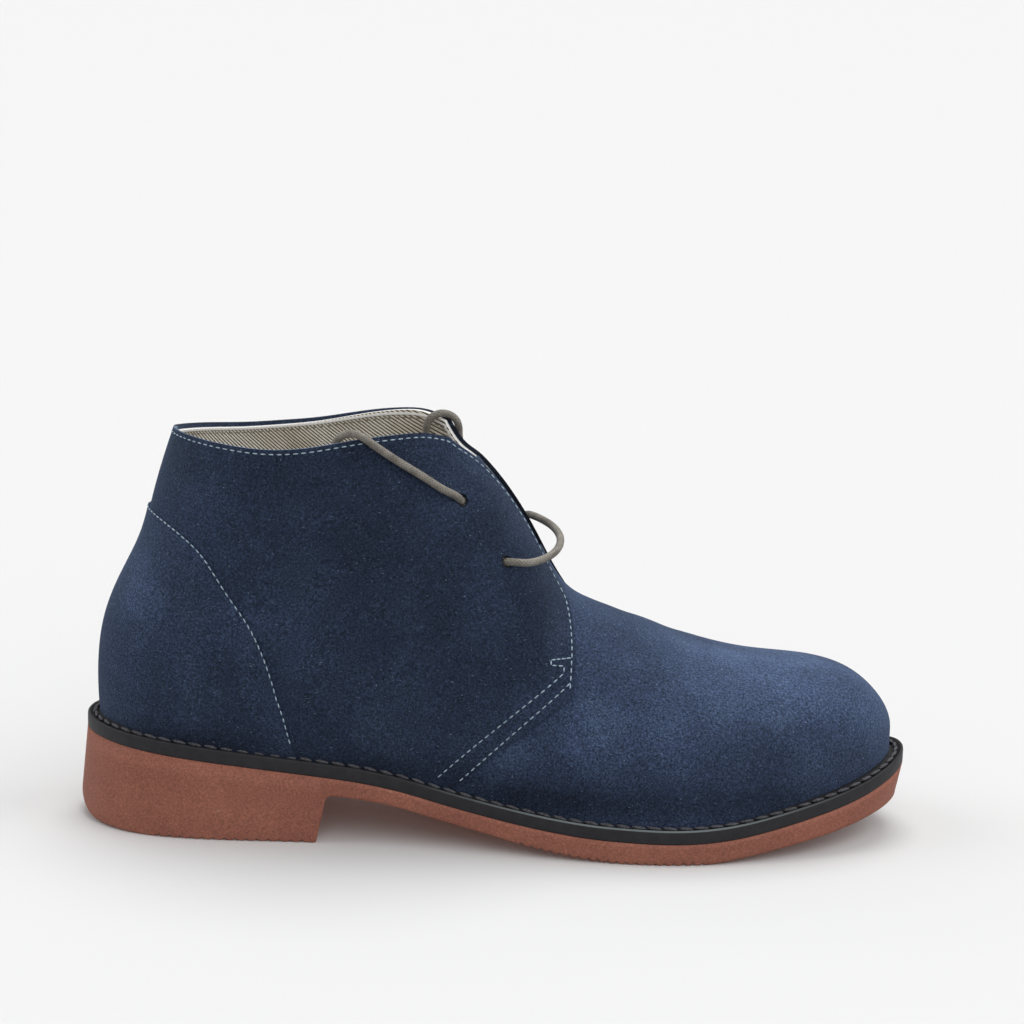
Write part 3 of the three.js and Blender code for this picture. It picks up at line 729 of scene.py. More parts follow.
# The bead's lighter colours and its pale streak beside the ball are a painted highlight.
WELT_BEAD_HIGHLIGHT_LOOK = welting("welting_painted_highlight_bead", "#242427", "#303034", wear_and_painted_highlight="#7b8385")
WELT_THREAD_LOOK = thread("welt_thread", "#5a5a60", "#2b2b30")
THREAD_LOOK = thread("suede_thread", "#b4c8d6", "#8299ab")
INNER_THREAD_LOOK = thread("lining_thread", "#a09988", "#6f695d")
LACE_LOOK = braided_cord("waxed_cotton_braid", "#87827a", "#67635b", "#a29d94")
SOCK_LOOK = smooth_leather("sock_leather", "#b79a6e", "#a08458")


# ---- Making pieces ----
def mesh_object(name, bm):
    mesh = bpy.data.meshes.new(name)
    bm.to_mesh(mesh)
    bm.free()
    made = bpy.data.objects.new(name, mesh)
    bpy.context.scene.collection.objects.link(made)
    return made


def add_piece(name, bm, looks, replaces=(), tone=None):
    """Turns a bmesh in millimetres into a finished piece that rides on the boot."""
    points = np.array([vert.co for vert in bm.verts])
    for vert in bm.verts:
        vert.co = to_frame(vert.co)
    made = mesh_object(name, bm)
    mesh = made.data
    mesh.shade_smooth()
    # The tone scales the suede's colour per panel and point: brushed patches, painted light and painted
    # shade.
    if tone is not None:
        mesh.attributes.new("tone", "FLOAT", "POINT").data.foreach_set("value", nap_and_painted_light(points, tone))
    for look in looks:
        mesh.materials.append(look)
    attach(made, "root")
    if replaces:
        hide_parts(*replaces)
    return made


def grid_over(columns, rows, place):
    """A grid of faces laid over place(u, v), which gives points in millimetres; so is its UV map."""
    bm = bmesh.new()
    uv_layer = bm.loops.layers.uv.new("UVMap")
    bmesh.ops.create_grid(bm, x_segments=columns, y_segments=rows, size=0.5)
    flat = np.array([vert.co for vert in bm.verts])[:, :2] + 0.5
    laid = place(flat[:, 0], flat[:, 1])
    reach = np.linspace(0, 1, 201)
    half = np.full_like(reach, 0.5)
    long, high = run_along(place(reach, half)), run_along(place(half, reach))
    for vert, (u, v), co in zip(bm.verts, flat, laid):
        for loop in vert.link_loops:
            loop[uv_layer].uv = (np.interp(u, reach, long), np.interp(v, reach, high))
        vert.co = co
    return bm


def wall(piece, thickness, rounding, shares=None):
    """Gives a sheet its thickness inwards, or a share of it at each point. Its edges are rounded, and take
    the piece's second look if it has one."""
    solid = piece.modifiers.new("wall", "SOLIDIFY")
    solid.thickness = thickness * MM
    solid.offset = -1
    solid.use_even_offset = False
    solid.material_offset_rim = min(1, len(piece.data.materials) - 1)
    if shares is not None:
        body = piece.vertex_groups.new(name="body")
        for index, share in enumerate(shares):
            body.add([index], float(share), "REPLACE")
        solid.vertex_group = body.name
    bevel = piece.modifiers.new("rounded_edges", "BEVEL")
    bevel.width = rounding * MM
    bevel.segments = 2
    bevel.limit_method = "ANGLE"
    bevel.angle_limit = math.radians(50)


def with_modifiers(piece):
    """The piece's mesh with its modifiers worked in."""
    evaluated = piece.evaluated_get(bpy.context.evaluated_depsgraph_get())
    mesh = bpy.data.meshes.new_from_object(evaluated)
    piece.modifiers.clear()
    piece.data = mesh
    piece.vertex_groups.clear()


def hole_axis(name, side):
    turn, girth = edge_place(side, HOLES[name][0], z=HOLES[name][1])
    inner, outer = (surface(turn, girth, side, out) for out in (-8, 8))
    return inner, outer


def punch_holes(piece, side):
    """Punches both lace holes through a quarter or its lining."""
    bm = bmesh.new()
    for name in HOLES:
        inner, outer = (Vector(to_frame(p)) for p in hole_axis(name, side))
        turned = (outer - inner).to_track_quat("Z", "Y").to_matrix().to_4x4()
        where = Matrix.Translation((inner + outer) / 2) @ turned
        radius = LACE_HOLE / 2 * MM
        depth = (outer - inner).length
        bmesh.ops.create_cone(
            bm, cap_ends=True, segments=32, radius1=radius, radius2=radius, depth=depth, matrix=where
        )
    punch = mesh_object("punch", bm)
    cut = piece.modifiers.new("holes", "BOOLEAN")
    cut.object = punch
    cut.operation = "DIFFERENCE"
    cut.solver = "EXACT"
    bpy.context.view_layer.update()
    with_modifiers(piece)
    bpy.data.objects.remove(punch)


# ---- Camera ----
CAMERA = {"x": 4.5, "back": 1100, "height": 361.3, "aim": 116.3, "roll": 1.5, "lens": 108.5}


def add_camera():
    data = bpy.data.cameras.new("camera")
    data.lens = CAMERA["lens"]
    data.sensor_width = 36
    data.clip_end = 60
    camera = bpy.data.objects.new("camera", data)
    bpy.context.scene.collection.objects.link(camera)
    eye = Vector((CAMERA["x"], -CAMERA["back"], CAMERA["height"])) * MM
    aim = Vector((CAMERA["x"], 0, CAMERA["aim"])) * MM
    turned = (aim - eye).to_track_quat("-Z", "Y").to_matrix().to_4x4()
    rolled = Matrix.Rotation(math.radians(CAMERA["roll"]), 4, "Z")
    camera.matrix_world = Matrix.Translation(eye) @ turned @ rolled
    bpy.context.scene.camera = camera


add_camera()


# ---- Lace ----
RIDE = LAP + LACE / 2 + 0.4  # from the last to the middle of a lace lying on the quarter


def on_side(x, z, side, out):
    turn, girth = edge_place(side, x, z=z)
    return surface(turn, girth, side, out)


def pick_rows(rows, at):
    """Points between the rows of a line, at fractional row numbers."""
    return np.stack([np.interp(at, np.arange(len(rows)), rows[:, k]) for k in range(3)], -1)


def smooth_route(points, spacing):
    """Points along a smooth curve through the route, spacing mm apart."""
    route = np.array(points, float)
    chords = np.sqrt(np.linalg.norm(np.diff(route, axis=0), axis=1))
    at = np.concatenate([[0], np.cumsum(chords)])
    axes = [spline(at, route[:, k]) for k in range(3)]
    fine = np.linspace(0, at[-1], 2000)
    line = np.stack([axis(fine) for axis in axes], -1)
    run = run_along(line)
    even = np.linspace(0, run[-1], int(run[-1] / spacing) + 2)
    return np.stack([np.interp(even, run, line[:, k]) for k in range(3)], -1), run[-1]


def tube_over(points, diameter, sides, round_end=0.7):
    """A round cord along evenly spaced points, with rounded ends."""
    line = np.array(points)
    tangents = unit(np.gradient(line, axis=0))
    side = unit(np.cross(tangents[0], [0.31, 0.2, 0.93]))
    sideways = []
    for tangent in tangents:
        side = unit(side - tangent * (side @ tangent))
        sideways.append(side)
    sideways = np.array(sideways)
    upright = np.cross(tangents, sideways)
    last = len(line) - 1
    step = np.linalg.norm(line[1] - line[0])

    def place(u, v):
        at = u * last
        inwards = np.clip(np.minimum(at, last - at) * step / round_end, 0, 1)
        radius = diameter / 2 * np.sqrt(inwards * (2 - inwards))
        angle = v * 2 * math.pi
        across, up = pick_rows(sideways, at), pick_rows(upright, at)
        around = across * np.cos(angle)[:, None] + up * np.sin(angle)[:, None]
        return pick_rows(line, at) + around * radius[:, None]

    bm = grid_over(last, sides, place)
    bmesh.ops.remove_doubles(bm, verts=bm.verts, dist=1e-4)
    bmesh.ops.recalc_face_normals(bm, faces=bm.faces)
    return bm


LACE_ROUTES = {
    "lateral": [
        (140.2, 124.3, -3.3),
        (139.3, 124.9, -0.8),
        (137.4, 126, 1.4),
        (134.8, 127.3, RIDE - 0.2),
        (131, 129.4, RIDE + 0.1),
        (124, 134.5, RIDE),
        (117, 139.4, RIDE),
        (110.5, 144, RIDE),
        (106.5, 146.9, RIDE),
        (103.2, 149.2, RIDE - 0.5),
        (100.2, 150, 0.4),
        (97.2, 149.4, -2.1),
        (94.6, 147, -4.2),
        (92.6, 143, -5.2),
        (91, 137.5, -5.4),
        (89.9, 131, -5.3),
        (89, 124, -5.2),
        (88.4, 116, -5.2),
    ],
    "medial": [
        (139.4, 123.2, -3.3),
        (139.1, 124.7, -0.8),
        (138.5, 126.9, 1.4),
        (137.4, 130.4, RIDE),
        (136, 135.6, RIDE),
        (135.1, 139.6, RIDE),
    ],
}
OVER_MEDIAL_COLLAR = [
    (136.6, 18.1, 143.3),
    (135.8, 17.2, 146.3),
    (133.6, 16.5, 148.5),
    (130.6, 16, 149.3),
    (127.6, 15.7, 148.5),
    (125.4, 15.7, 146.3),
    (124.6, 16, 143.3),
    (124.1, 16.8, 139.4),
    (123.8, 17.8, 135.4),
    (123.5, 18.9, 130.9),
    (123.3, 19.8, 126.6),
]
LACE_BOW = [
    (156.5, -26.8, 104),
    (159.4, -28.3, 104.2),
    (163.6, -27.8, 104.1),
    (168.3, -24.8, 104.7),
    (172.7, -19.4, 106.2),
    (174.8, -12, 108.6),
    (173.2, -3, 110.8),
    (169, 6, 112),
    (164.4, 14, 112.2),
    (160.8, 21.4, 109.8),
]
LACE_SPACING = 0.7
LACE_SIDES = 20


def add_lace_end(side_name):
    side = SIDES[side_name]
    route = [on_side(x, z, side, out) for x, z, out in LACE_ROUTES[side_name]]
    if side == MEDIAL:
        route += OVER_MEDIAL_COLLAR
    points, length = smooth_route(route, LACE_SPACING)
    cad_node = "lace_end_" + side_name
    piece = add_piece(
        cad_node + "_cord", tube_over(points, LACE, LACE_SIDES), [LACE_LOOK], [cad_node]
    )


def add_lace_bar():
    """The slack bar between the lower holes, and the hidden runs inside up to the upper holes."""

    def hole(name, side, out, dx=0, dz=0):
        x, z = HOLES[name]
        return on_side(x + dx, z + dz, side, out)

    def hidden(side):
        return [
            hole("upper", side, -3.6),
            hole("upper", side, -4.6, 4, -5),
            hole("lower", side, -4.6, -4, 5),
            hole("lower", side, -3.0),
            hole("lower", side, -0.4),
        ]

    end = hole("lower", MEDIAL, 2.4, 0.6, 0.8)
    route = [*hidden(LATERAL), *LACE_BOW, end, *hidden(MEDIAL)[::-1]]
    points, _ = smooth_route(route, LACE_SPACING)
    add_piece("lace_bar_cord", tube_over(points, LACE, LACE_SIDES), [LACE_LOOK], ["lace_bar"])


for side_name in SIDES:
    add_lace_end(side_name)
add_lace_bar()


# ---- Upper ----
def quarter_place(side, top_drop=0.0):
    top, bottom = quarter_edge[side]

    def at(u, v):
        return (*mix(bottom(u), top(u), v * (1 - top_drop)), side)

    return at


def near_seam(u, v, reach=0.22):
    """1 on the body of a quarter, falling to 0 at its seam with the vamp."""
    seam = ease((u - FEATHER_SHARE + 0.02) / 0.03)
    return 1 - seam * (1 - ease(v / reach))


outer_surfaces = {}
QUARTER_GRID = (210, 110)
LINING_LOOKS = [LINING_LOOK, RAW_EDGE_LOOK]


def outside_sheet(grid, place, out):
    """A grid over the last, with its faces turned outwards."""
    bm = grid_over(*grid, lambda u, v: surface(*place(u, v), out))
    bmesh.ops.remove_doubles(bm, verts=bm.verts, dist=0.01)
    middle = Vector((LENGTH / 2, 0, 50))
    bm.faces.ensure_lookup_table()
    face = bm.faces[len(bm.faces) // 3]
    bm.normal_update()
    reach = face.calc_center_median() - middle
    if face.normal.dot(Vector((0, reach.y, max(reach.z, 0)))) < 0:
        bmesh.ops.reverse_faces(bm, faces=bm.faces)
    return bm


def add_panel(name, grid, place, out, thickness, rounding, looks, replaces=(), tone=None, shares=None):
    """Adds a piece of leather or cloth, out mm outside the last, and keeps its surface for the stitches."""
    bm = outside_sheet(grid, place, out)
    outer_surfaces[name] = BVHTree.FromBMesh(bm)
    piece = add_piece(name, bm, looks, replaces, tone)
    wall(piece, thickness, rounding, shares)
    return piece


def add_quarter(side_name):
    side = SIDES[side_name]
    shares = SKIVED / SUEDE + (1 - SKIVED / SUEDE) * grid_weights(QUARTER_GRID, near_seam)
    # The quarter's cut edge is a painted highlight on the collar and facing, and dark painted shade at the
    # seam.
    looks = [SUEDE_LOOK, PAINTED_HIGHLIGHT_EDGE_LOOK, DARK_EDGE_AND_SEAM_SHADE_LOOK]
    name, place = "quarter_" + side_name, quarter_place(side)
    piece = add_panel(name, QUARTER_GRID, place, LAP, SUEDE, 0.32, looks, (), 0.95, shares)
    punch_holes(piece, side)
    seam_shade_below = (SEAM_CORNER[1] + 4) * MM  # below this the cut edge is dark, painted shade along the seam; the medial quarter's edge is dark all round
    for face in piece.data.polygons:
        cut = looks[face.material_index] == PAINTED_HIGHLIGHT_EDGE_LOOK
        if cut and (side == MEDIAL or face.center.z < seam_shade_below):
            face.material_index = looks.index(DARK_EDGE_AND_SEAM_SHADE_LOOK)


def grid_weights(grid, weight):
    columns, rows = grid
    v, u = np.mgrid[0 : rows + 1, 0 : columns + 1]
    return weight(u.ravel() / columns, v.ravel() / rows)


def add_quarter_lining(side_name):
    side = SIDES[side_name]
    out = LAP - SUEDE - GLUE
    inside = outside_sheet((170, 80), quarter_place(side), out - LINING)
    bmesh.ops.reverse_faces(inside, faces=inside.faces)
    outer_surfaces["inside_" + side_name] = BVHTree.FromBMesh(inside)
    inside.free()
    place = quarter_place(side, top_drop=0.012)
    piece = add_panel("lining_" + side_name, (170, 80), place, out, LINING, 0.2, LINING_LOOKS)
    punch_holes(piece, side)


def vamp_place(lap, throat):
    def at(u, v):
        around = v * 2 - 1
        side = np.where(around < 0, -1, 1)
        girth = 1 - np.abs(around)
        foot, top = turn_of(SEAM_FOOT - lap), turn_of(throat)
        start = foot + (top - foot) * np.minimum(1, girth / 0.62)
        girth = np.where(girth <= 0, TUCK, girth)
        return start + (math.pi - start) * u, girth, side

    return at


def add_vamp():
    place = vamp_place(VAMP_LAP, VAMP_THROAT)
    # The vamp's tone of 1.5, against the quarters' 0.95, is painted light on the same suede where it faces
    # the light.
    add_panel("vamp", (170, 200), place, 0, VAMP_SUEDE, 0.3, [SUEDE_LOOK], ["upper"], 1.5)
    place, out = vamp_place(-2, VAMP_THROAT + 4), -VAMP_SUEDE - GLUE
    add_panel("vamp_lining", (90, 120), place, out, VAMP_LINING, 0.15, LINING_LOOKS)


def counter_curve(side):
    x = np.concatenate([COUNTER_EDGE["x"], [BACK_X + float(back_seam(COUNTER_TOP))]])
    z = np.concatenate([COUNTER_EDGE["z"], [COUNTER_TOP]])
    return curve_of(x, z, "z", side)


def counter_place(u, v):
    around = u * 2 - 1
    top = float(girth_of("z", np.array(0.0), MEDIAL, np.array(COUNTER_TOP)))
    edges = {side: counter_curve(side)(v) for side in SIDES.values()}
    edge = tuple(np.where(around < 0, a, b) for a, b in zip(edges[LATERAL], edges[MEDIAL]))
    back = (np.zeros_like(v), top * v)
    turn, girth = mix(back, edge, np.abs(around))
    return turn, TUCK + (1 - TUCK) * girth, np.where(around < 0, LATERAL, MEDIAL)


def add_counter():
    out, looks = LAP + 0.02 + COUNTER_SUEDE, [SUEDE_LOOK]
    name, replaced = "heel_counter_panel", ["heel_counter"]
    # The counter's tone of 1.12, above the quarters' 0.95, is painted light on the heel's back.
    add_panel(name, (170, 110), counter_place, out, COUNTER_SUEDE, 0.3, looks, replaced, 1.12)


def tongue_place(u, v):
    size = TONGUE_SIZE
    across = v * 2 - 1
    x = size["foot"] + (size["top"] - size["corner"] * across**2 - size["foot"]) * u
    apart = np.abs(across) * (size["foot_half"] + (size["top_half"] - size["foot_half"]) * u)
    side = np.where(across < 0, LATERAL, MEDIAL)
    turn = turn_of(x)
    girth = np.where(across == 0, 1, girth_of("apart", turn, side, apart))
    return turn, girth, side


def add_tongue():
    out = LAP - QUARTER - GAP - 0.3
    looks = [SUEDE_LOOK]
    add_panel("tongue_flap", (90, 90), tongue_place, out, TONGUE_SUEDE, 0.35, looks, ["tongue"], 0.9)


for side_name in SIDES:
    add_quarter(side_name)
    add_quarter_lining(side_name)
add_vamp()
add_counter()
add_tongue()


# ---- Stitches ----
def add_stitch(bm, centre, along, normal, length, thick, height, segments=8):
    """Adds a stitch as an ellipsoid that lies along a surface with the given normal."""
    across = normal.cross(along).normalized()
    turned = Matrix((along, across, along.cross(across))).transposed().to_4x4()
    where = Matrix.Translation(centre) @ turned @ Matrix.Diagonal((length / 2, thick / 2, height / 2, 1))
    bmesh.ops.create_uvsphere(bm, u_segments=segments, v_segments=segments - 2, radius=1, matrix=where)


def lay_stitches(name, rows, look, on, thick=0.52, sink=0.08):
    """Rows of stitches on a surface. A row is points in millimetres, a pitch and a stitch length."""
    bm = bmesh.new()
    tree = outer_surfaces[on]
    for points, pitch, length in rows:
        run = run_along(points)
        count = max(1, round(run[-1] / pitch))
        for middle in (np.arange(count) + 0.5) / count * run[-1]:
            ends = [
                Vector([np.interp(middle + shift, run, points[:, k]) for k in range(3)])
                for shift in (-length / 2, length / 2)
            ]
            centre, normal, _, _ = tree.find_nearest((ends[0] + ends[1]) / 2)
            if centre is None:
                continue
            along = (ends[1] - ends[0]).normalized()
            along = (along - normal * along.dot(normal)).normalized()
            add_stitch(bm, centre + normal * (thick * 0.3 - sink), along, normal, length, thick, thick * 0.8)
    add_piece(name, bm, [look])


def inset_line(place, out, inset, samples):
    """A line beside a panel's edge, inset mm towards the panel; place gives turn, girth and side along it."""
    turn, girth, side = place(samples)
    edge = surface(turn, girth, side, out)
    normal = last_normal(turn, girth, side)
    along = unit(np.gradient(edge, axis=0))
    return edge + np.cross(normal, along) * inset


def top_edge(side):
    return lambda s: (*quarter_edge[side][0](s), np.full_like(s, side))


STITCH = {"pitch": 2.9, "length": 2.0, "inset": 1.6}
INNER_ROW = 3.2  # from the rim to the row that holds the lining
RAW_EDGE = (1.2, 2.1)  # the band of raw lining, from and to this far under the rim
SEAM_ROWS = [
    table("x z", (140.5, 24.8), (148.1, 32.6), (158.6, 43.2), (168.9, 53.2), (179.5, 62.6)),
    table("x z", (132.6, 25.6), (144.4, 37.2), (154.9, 46.9), (165.3, 56.2), (176.8, 65.6)),
]
BAR_TACK = [(176.8, 65.6), (176.7, 67.8), (172.1, 68.4), (172, 70.1), (179.2, 70.1)]


def add_quarter_stitches(side_name):
    side = SIDES[side_name]
    samples = np.linspace(0.004, 0.992, 400)
    rim = inset_line(top_edge(side), LAP, STITCH["inset"] * side, samples)
    rows = [(rim, STITCH["pitch"], STITCH["length"])]
    for row in SEAM_ROWS:
        height = spline(row["x"], row["z"])
        x = np.linspace(row["x"][0], row["x"][-1], 60)
        rows.append((on_side(x, height(x), np.full_like(x, side), LAP), STITCH["pitch"], STITCH["length"]))
    tack = [on_side(x, z, side, LAP) for x, z in BAR_TACK]
    for start, end in zip(tack, tack[1:]):
        rows.append((np.array([start, end]), 2.2, 1.9))
    lay_stitches("stitches_quarter_" + side_name, rows, THREAD_LOOK, "quarter_" + side_name)


def add_lining_edge(side_name):
    """The lining's raw edge, a pale band inside the rim, and the row of stitches under it."""
    side = SIDES[side_name]
    inner = LAP - SUEDE - GLUE - LINING
    samples = np.linspace(0.002, 0.97, 420)
    high, low = (inset_line(top_edge(side), inner - 0.06, inset * side, samples) for inset in RAW_EDGE)

    def place(u, v):
        at = u * (len(samples) - 1)
        return pick_rows(high, at) * (1 - v)[:, None] + pick_rows(low, at) * v[:, None]

    bm = grid_over(len(samples) - 1, 2, place)
    piece = add_piece("lining_edge_" + side_name, bm, [RAW_EDGE_LOOK])
    wall(piece, 0.25, 0.05)
    row = inset_line(top_edge(side), inner, INNER_ROW * side, samples)
    rows = [(row, STITCH["pitch"], STITCH["length"])]
    lay_stitches("stitches_lining_" + side_name, rows, INNER_THREAD_LOOK, "inside_" + side_name)


def add_counter_stitches():
    rows = []
    samples = np.linspace(0.02, 0.995, 200)
    for side in SIDES.values():
        edge = counter_curve(side)
        place = lambda s: (*edge(s), np.full_like(s, side))
        line = inset_line(place, LAP + COUNTER_SUEDE, -1.7 * side, samples)
        rows.append((line, STITCH["pitch"], STITCH["length"]))
    lay_stitches("stitches_counter", rows, THREAD_LOOK, "heel_counter_panel")


for side_name in SIDES:
    add_quarter_stitches(side_name)
    add_lining_edge(side_name)
add_counter_stitches()


# ---- Sole ----
def sole_rim():
    """The sole's edge at the top, once round from the heel end and along the lateral side first."""
    angle = np.linspace(0, 2 * math.pi, 2881)
    turn = np.where(angle < math.pi, angle, 2 * math.pi - angle)
    side = np.where(angle < math.pi, LATERAL, MEDIAL)
    x = LENGTH * (1 - np.cos(turn)) / 2
    points = np.stack([seat_x(x), axis_y(x) + side * sole_half(turn, side)], -1)
    tangent = unit(np.roll(points[:-1], -1, axis=0) - np.roll(points[:-1], 1, axis=0))
    tangent = np.concatenate([tangent, tangent[:1]])
    outward = np.stack([tangent[:, 1], -tangent[:, 0]], -1)
    return run_along(points), points, outward


RIM_RUN, RIM_POINTS, RIM_OUT = sole_rim()


def rim_at(run, inset, up):
    """Points beside the sole's edge: inset mm inwards, up mm above the outsole's top."""
    at = np.mod(run, RIM_RUN[-1])
    x, y, out_x, out_y = (np.interp(at, RIM_RUN, values) for values in (*RIM_POINTS.T, *RIM_OUT.T))
    px, py = x - out_x * inset, y - out_y * inset
    return np.stack([px, py, outsole_top(px) + up], -1)


WELT_SECTION = table(
    "inset up",
    (0.5, 0.02),
    (0.12, 0.2),
    (0, 0.8),
    (0, 4.1),
    (0.1, 4.7),
    (0.4, 5.12),
    (0.8, 5.22),
    (1.15, 5.08),
    (1.4, 4.7),
    (1.7, 4.45),
    (2.6, 4.4),
    (3.5, 4.5),
    (4.2, 5.0),
    (5.4, 5.6),
    (9, 5.5),
    (9, 0.3),
)


WELT_BEAD = (4, 8)  # the rows of the section between which the bead along its top edge lies; the bead takes the painted highlight
WELT_COLUMNS = 760


def add_welt():
    insets = np.append(WELT_SECTION["inset"], WELT_SECTION["inset"][0])
    ups = np.append(WELT_SECTION["up"], WELT_SECTION["up"][0])
    corners = np.linspace(0, 1, len(insets))

    def place(u, v):
        return rim_at(u * RIM_RUN[-1], np.interp(v, corners, insets), np.interp(v, corners, ups))

    bm = grid_over(WELT_COLUMNS, (len(insets) - 1) * 2, place)
    bm.faces.index_update()
    for face in bm.faces:
        corner = face.index // WELT_COLUMNS / 2
        face.material_index = 1 if WELT_BEAD[0] <= corner < WELT_BEAD[1] else 0
    bmesh.ops.remove_doubles(bm, verts=bm.verts, dist=0.005)
    bmesh.ops.recalc_face_normals(bm, faces=bm.faces)
    add_piece("welt_strip", bm, [WELT_LOOK, WELT_BEAD_HIGHLIGHT_LOOK], ["welt"])


# A welt stitch slants a little: its ends' insets and heights, half run mm before and after its middle.
WELT_STITCH = {"pitch": 5.8, "length": 5.3, "thick": 1.5, "half_run": 2}
WELT_STITCH_ENDS = table("inset up", (3.1, 5.35), (2.5, 5.15))


def add_welt_stitches():
    count = round(RIM_RUN[-1] / WELT_STITCH["pitch"])
    bm = bmesh.new()
    for i in range(count):
        runs = (i + 0.5) * RIM_RUN[-1] / count + WELT_STITCH["half_run"] * np.array([-1, 1])
        start, end = rim_at(runs, WELT_STITCH_ENDS["inset"], WELT_STITCH_ENDS["up"])
        centre, along = Vector((start + end) / 2), Vector(end - start).normalized()
        thick = WELT_STITCH["thick"]
        add_stitch(bm, centre, along, Vector((0, 0, 1)), WELT_STITCH["length"], thick, thick * 0.9, 10)
    add_piece("welt_stitches", bm, [WELT_THREAD_LOOK])


RIBS = table("start end pitch depth", (30, 85, 4.0, 0.7), (162, 231, 3.4, 0.7))
SOLE_EDGE_ROUND = 0.9
BREAST_RAKE = 3.5
BREAST_ROUND = 3
HEEL_CORNER_ROUND = 0.8


def rib_depth(x):
    """Grooves across the tread, rounded, from which the sole's lower edge looks scalloped."""
    deep = np.zeros_like(x)
    for start, end, pitch, depth in zip(*RIBS.values()):
        wave = (0.5 - 0.5 * np.cos((x - start) / pitch * 2 * math.pi)) ** 2
        deep += np.where((x > start) & (x < end), depth * wave, 0)
    return deep


def sole_stations():
    """Stations along the outsole as the x of its lower edge, the x of its top and the underside's height."""
    spread = lambda low, high, gap: np.linspace(low, high, int((high - low) / gap) + 1)
    ends = LENGTH * (1 - np.cos(np.linspace(0, math.pi, 161))) / 2
    foot = BREAST - BREAST_RAKE
    heel = np.unique(np.concatenate([ends[ends < 12], spread(12, 30, 1.5), spread(30, foot, 0.5)]))
    waist = spread(BREAST + BREAST_ROUND + 1, 160, 1.5)
    forefoot = np.concatenate([spread(160.5, 232, 0.42), spread(233, 292, 1.5), ends[ends > 293]])
    tread = np.concatenate([waist, forefoot])
    crown = float(waist_under(np.array(float(BREAST + BREAST_ROUND))))
    corner, cove = np.radians(np.linspace(20, 90, 5)), np.radians(np.linspace(15, 90, 6))
    share = np.linspace(0.1, 1, 9)
    low = HEEL_CORNER_ROUND
    runs = [
        (heel, heel_under(heel) + rib_depth(heel)),
        (foot + low * np.sin(corner), low * (1 - np.cos(corner))),
        (foot + low + (BREAST_RAKE - low) * share, low + (crown - BREAST_ROUND - low) * share),
        (BREAST + BREAST_ROUND * (1 - np.cos(cove)), crown - BREAST_ROUND * (1 - np.sin(cove))),
        (tread, waist_under(tread) + rib_depth(tread)),
    ]
    low_x, low_z = (np.concatenate(values) for values in zip(*runs))
    return low_x, seat_x(low_x), low_z


def add_outsole():
    low_x, top_x, low_z = sole_stations()
    station = np.linspace(0, 1, len(low_x))
    # Round the section: share across, share up, inset and lift of the edge's round.
    corner = [(1 - math.sin(angle), 1 - math.cos(angle)) for angle in np.radians((30, 60, 90))]
    section = [(across, 0, 1, 0) for across in np.linspace(-1, 1, 15)]
    section += [(1, 0, *at) for at in corner]
    section += [(1, up, 0, 1 - up) for up in (0.25, 0.5, 0.75, 1)]
    section += [(across, 1, 0, 0) for across in np.linspace(1, -1, 9)[1:]]
    section += [(-1, up, 0, 1 - up) for up in (0.75, 0.5, 0.25, 0)]
    section += [(-1, 0, *at) for at in corner[1::-1]]
    section.append((-1, 0, 1, 0))
    across, up, inset, lift = np.array(section).T
    ring = np.linspace(0, 1, len(section))

    def place(u, v):
        pick = lambda values: np.interp(v, ring, values)
        at_across, at_up, at_inset, at_lift = (pick(values) for values in (across, up, inset, lift))
        xl, xt, zl = (np.interp(u, station, values) for values in (low_x, top_x, low_z))
        heel = xl < BREAST - BREAST_RAKE / 2
        flare = np.where(heel, HEEL_FLARE["side"], 0) * (1 - at_up)
        side = np.where(at_across < 0, LATERAL, MEDIAL)
        turn = turn_at(100 * xl / LENGTH)
        half = sole_half(turn, side) + flare * np.minimum(1, sole_half(turn, side) / 5)
        rounding = np.minimum(SOLE_EDGE_ROUND, half * 0.9)
        reach = np.abs(at_across) * (half - rounding * at_inset)
        foot = tread_x(xl)
        x = foot + (xt - foot) * at_up
        z = zl + rounding * at_lift + (outsole_top(xt) - zl - rounding * at_lift) * at_up
        return np.stack([x, axis_y(xl) + side * reach, z], -1)

    bm = grid_over(len(low_x) - 1, len(section) - 1, place)
    bmesh.ops.remove_doubles(bm, verts=bm.verts, dist=0.004)
    bmesh.ops.recalc_face_normals(bm, faces=bm.faces)
    add_piece("outsole_unit", bm, [RUBBER_LOOK], ["outsole"])


# The sock ends this far, as a turn, short of the heel end and the toe tip; its edge is dished up, in mm.
SOCK = {"heel": 0.06, "toe": 0.2, "inset": QUARTER - LAP + 0.5, "dish": 1.6}


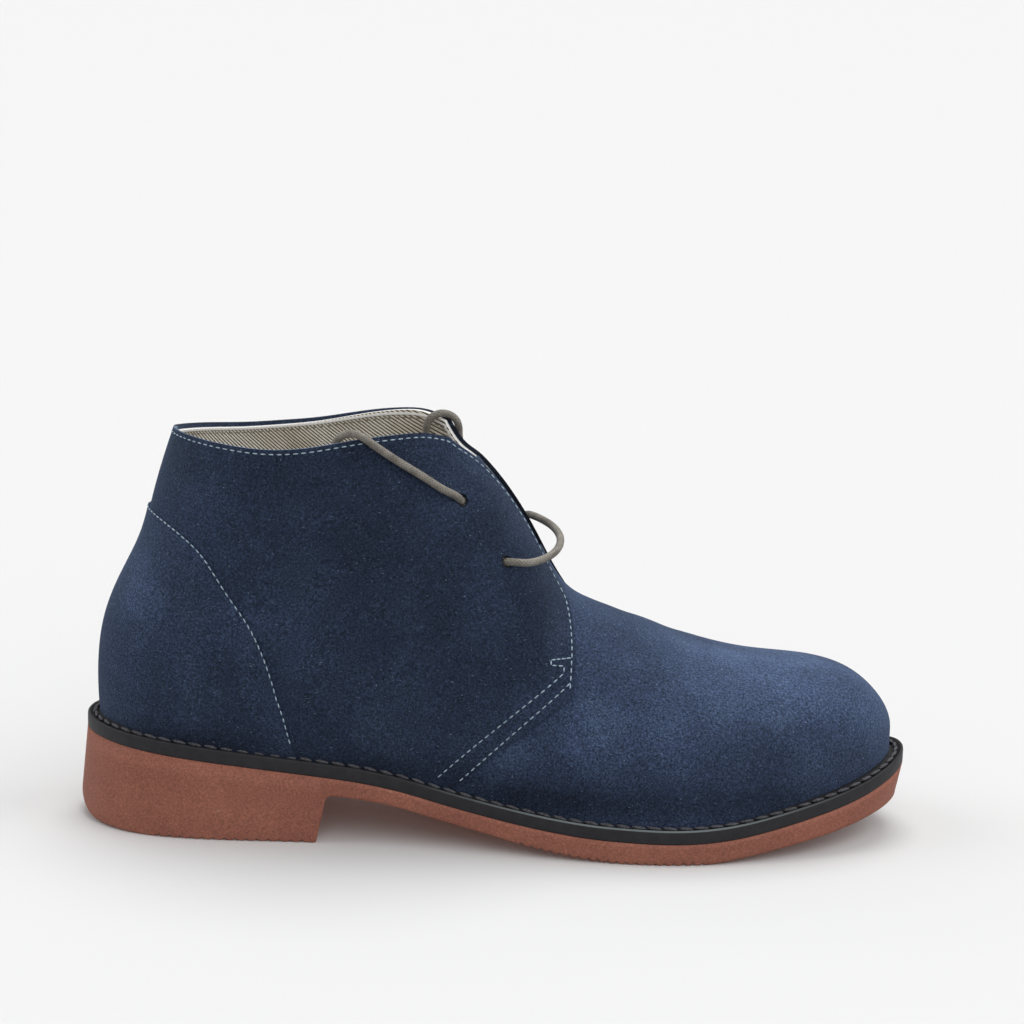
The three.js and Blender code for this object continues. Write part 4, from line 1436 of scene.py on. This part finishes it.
def add_sock():
    """The insole's sock, its edges dished up a little against the upper."""

    def place(u, v):
        turn = SOCK["heel"] + (math.pi - SOCK["heel"] - SOCK["toe"]) * u
        across = v * 2 - 1
        side = np.where(across < 0, LATERAL, MEDIAL)
        rim = last_point(turn, np.zeros_like(turn), side)
        normal = last_normal(turn, np.zeros_like(turn), side)
        rim = rim - normal * SOCK["inset"]
        middle = axis_y(station_x(turn))
        y = middle + (rim[..., 1] - middle) * np.abs(across)
        dish = SOCK["dish"] * np.abs(across) ** 4
        return np.stack([rim[..., 0], y, feather_z(rim[..., 0]) + INSOLE - 0.6 + dish], -1)

    bm = grid_over(150, 50, place)
    if sum(face.normal.z for face in bm.faces) < 0:
        bmesh.ops.reverse_faces(bm, faces=bm.faces)
    piece = add_piece("sock", bm, [SOCK_LOOK], ["insole"])
    wall(piece, 2.2, 0.4)


add_welt()
add_welt_stitches()
add_outsole()
add_sock()


# ---- Floor and light ----
def add_stage():
    bm = bmesh.new()
    bmesh.ops.create_grid(bm, x_segments=1, y_segments=1, size=40)
    floor = mesh_object("floor", bm)
    look, _, _ = material("pale_floor")
    shade(look, {"Base Color": srgb("#e1e1e1"), "Roughness": 0.9, "Specular IOR Level": 0.1})
    floor.data.materials.append(look)
    floor.visible_diffuse = False


def add_sun(name, strength, softness, azimuth, elevation):
    data = bpy.data.lights.new(name, "SUN")
    data.energy = strength
    data.angle = math.radians(softness)
    sun = bpy.data.objects.new(name, data)
    bpy.context.scene.collection.objects.link(sun)
    a, e = math.radians(azimuth), math.radians(elevation)
    back = Vector((math.sin(a) * math.cos(e), -math.cos(a) * math.cos(e), math.sin(e)))
    sun.rotation_euler = back.to_track_quat("Z", "Y").to_euler()


def add_world(sky, horizon, ground):
    """A studio all round: a bright band at the horizon, with less light from above and from below."""
    world = bpy.data.worlds.new("studio")
    bpy.context.scene.world = world
    world.use_nodes = True
    tree = world.node_tree
    place = node(tree, "TexCoord", {}, "Generated")
    height = node(tree, "SeparateXYZ", {0: place}, "Z")
    share = node(tree, "MapRange", {0: height, 1: -1.0, 2: 1.0})
    levels = [(0.42, ground), (0.495, horizon), (0.6, horizon), (0.72, sky)]
    band = node(tree, "ValToRGB", {"Fac": share}, stops=levels)
    tree.links.new(band, tree.nodes["Background"].inputs["Color"])


add_stage()
add_sun("softbox_top", 1.45, 35, 172, 70)
add_sun("softbox_toe", 1.0, 50, 85, 42)
add_sun("softbox_heel", 0.75, 50, 265, 30)
add_sun("softbox_front", 0.8, 50, 14, 36)
add_world(sky="#959595", horizon="#c4c4c4", ground="#959595")
bpy.context.scene.view_settings.view_transform = "Standard"
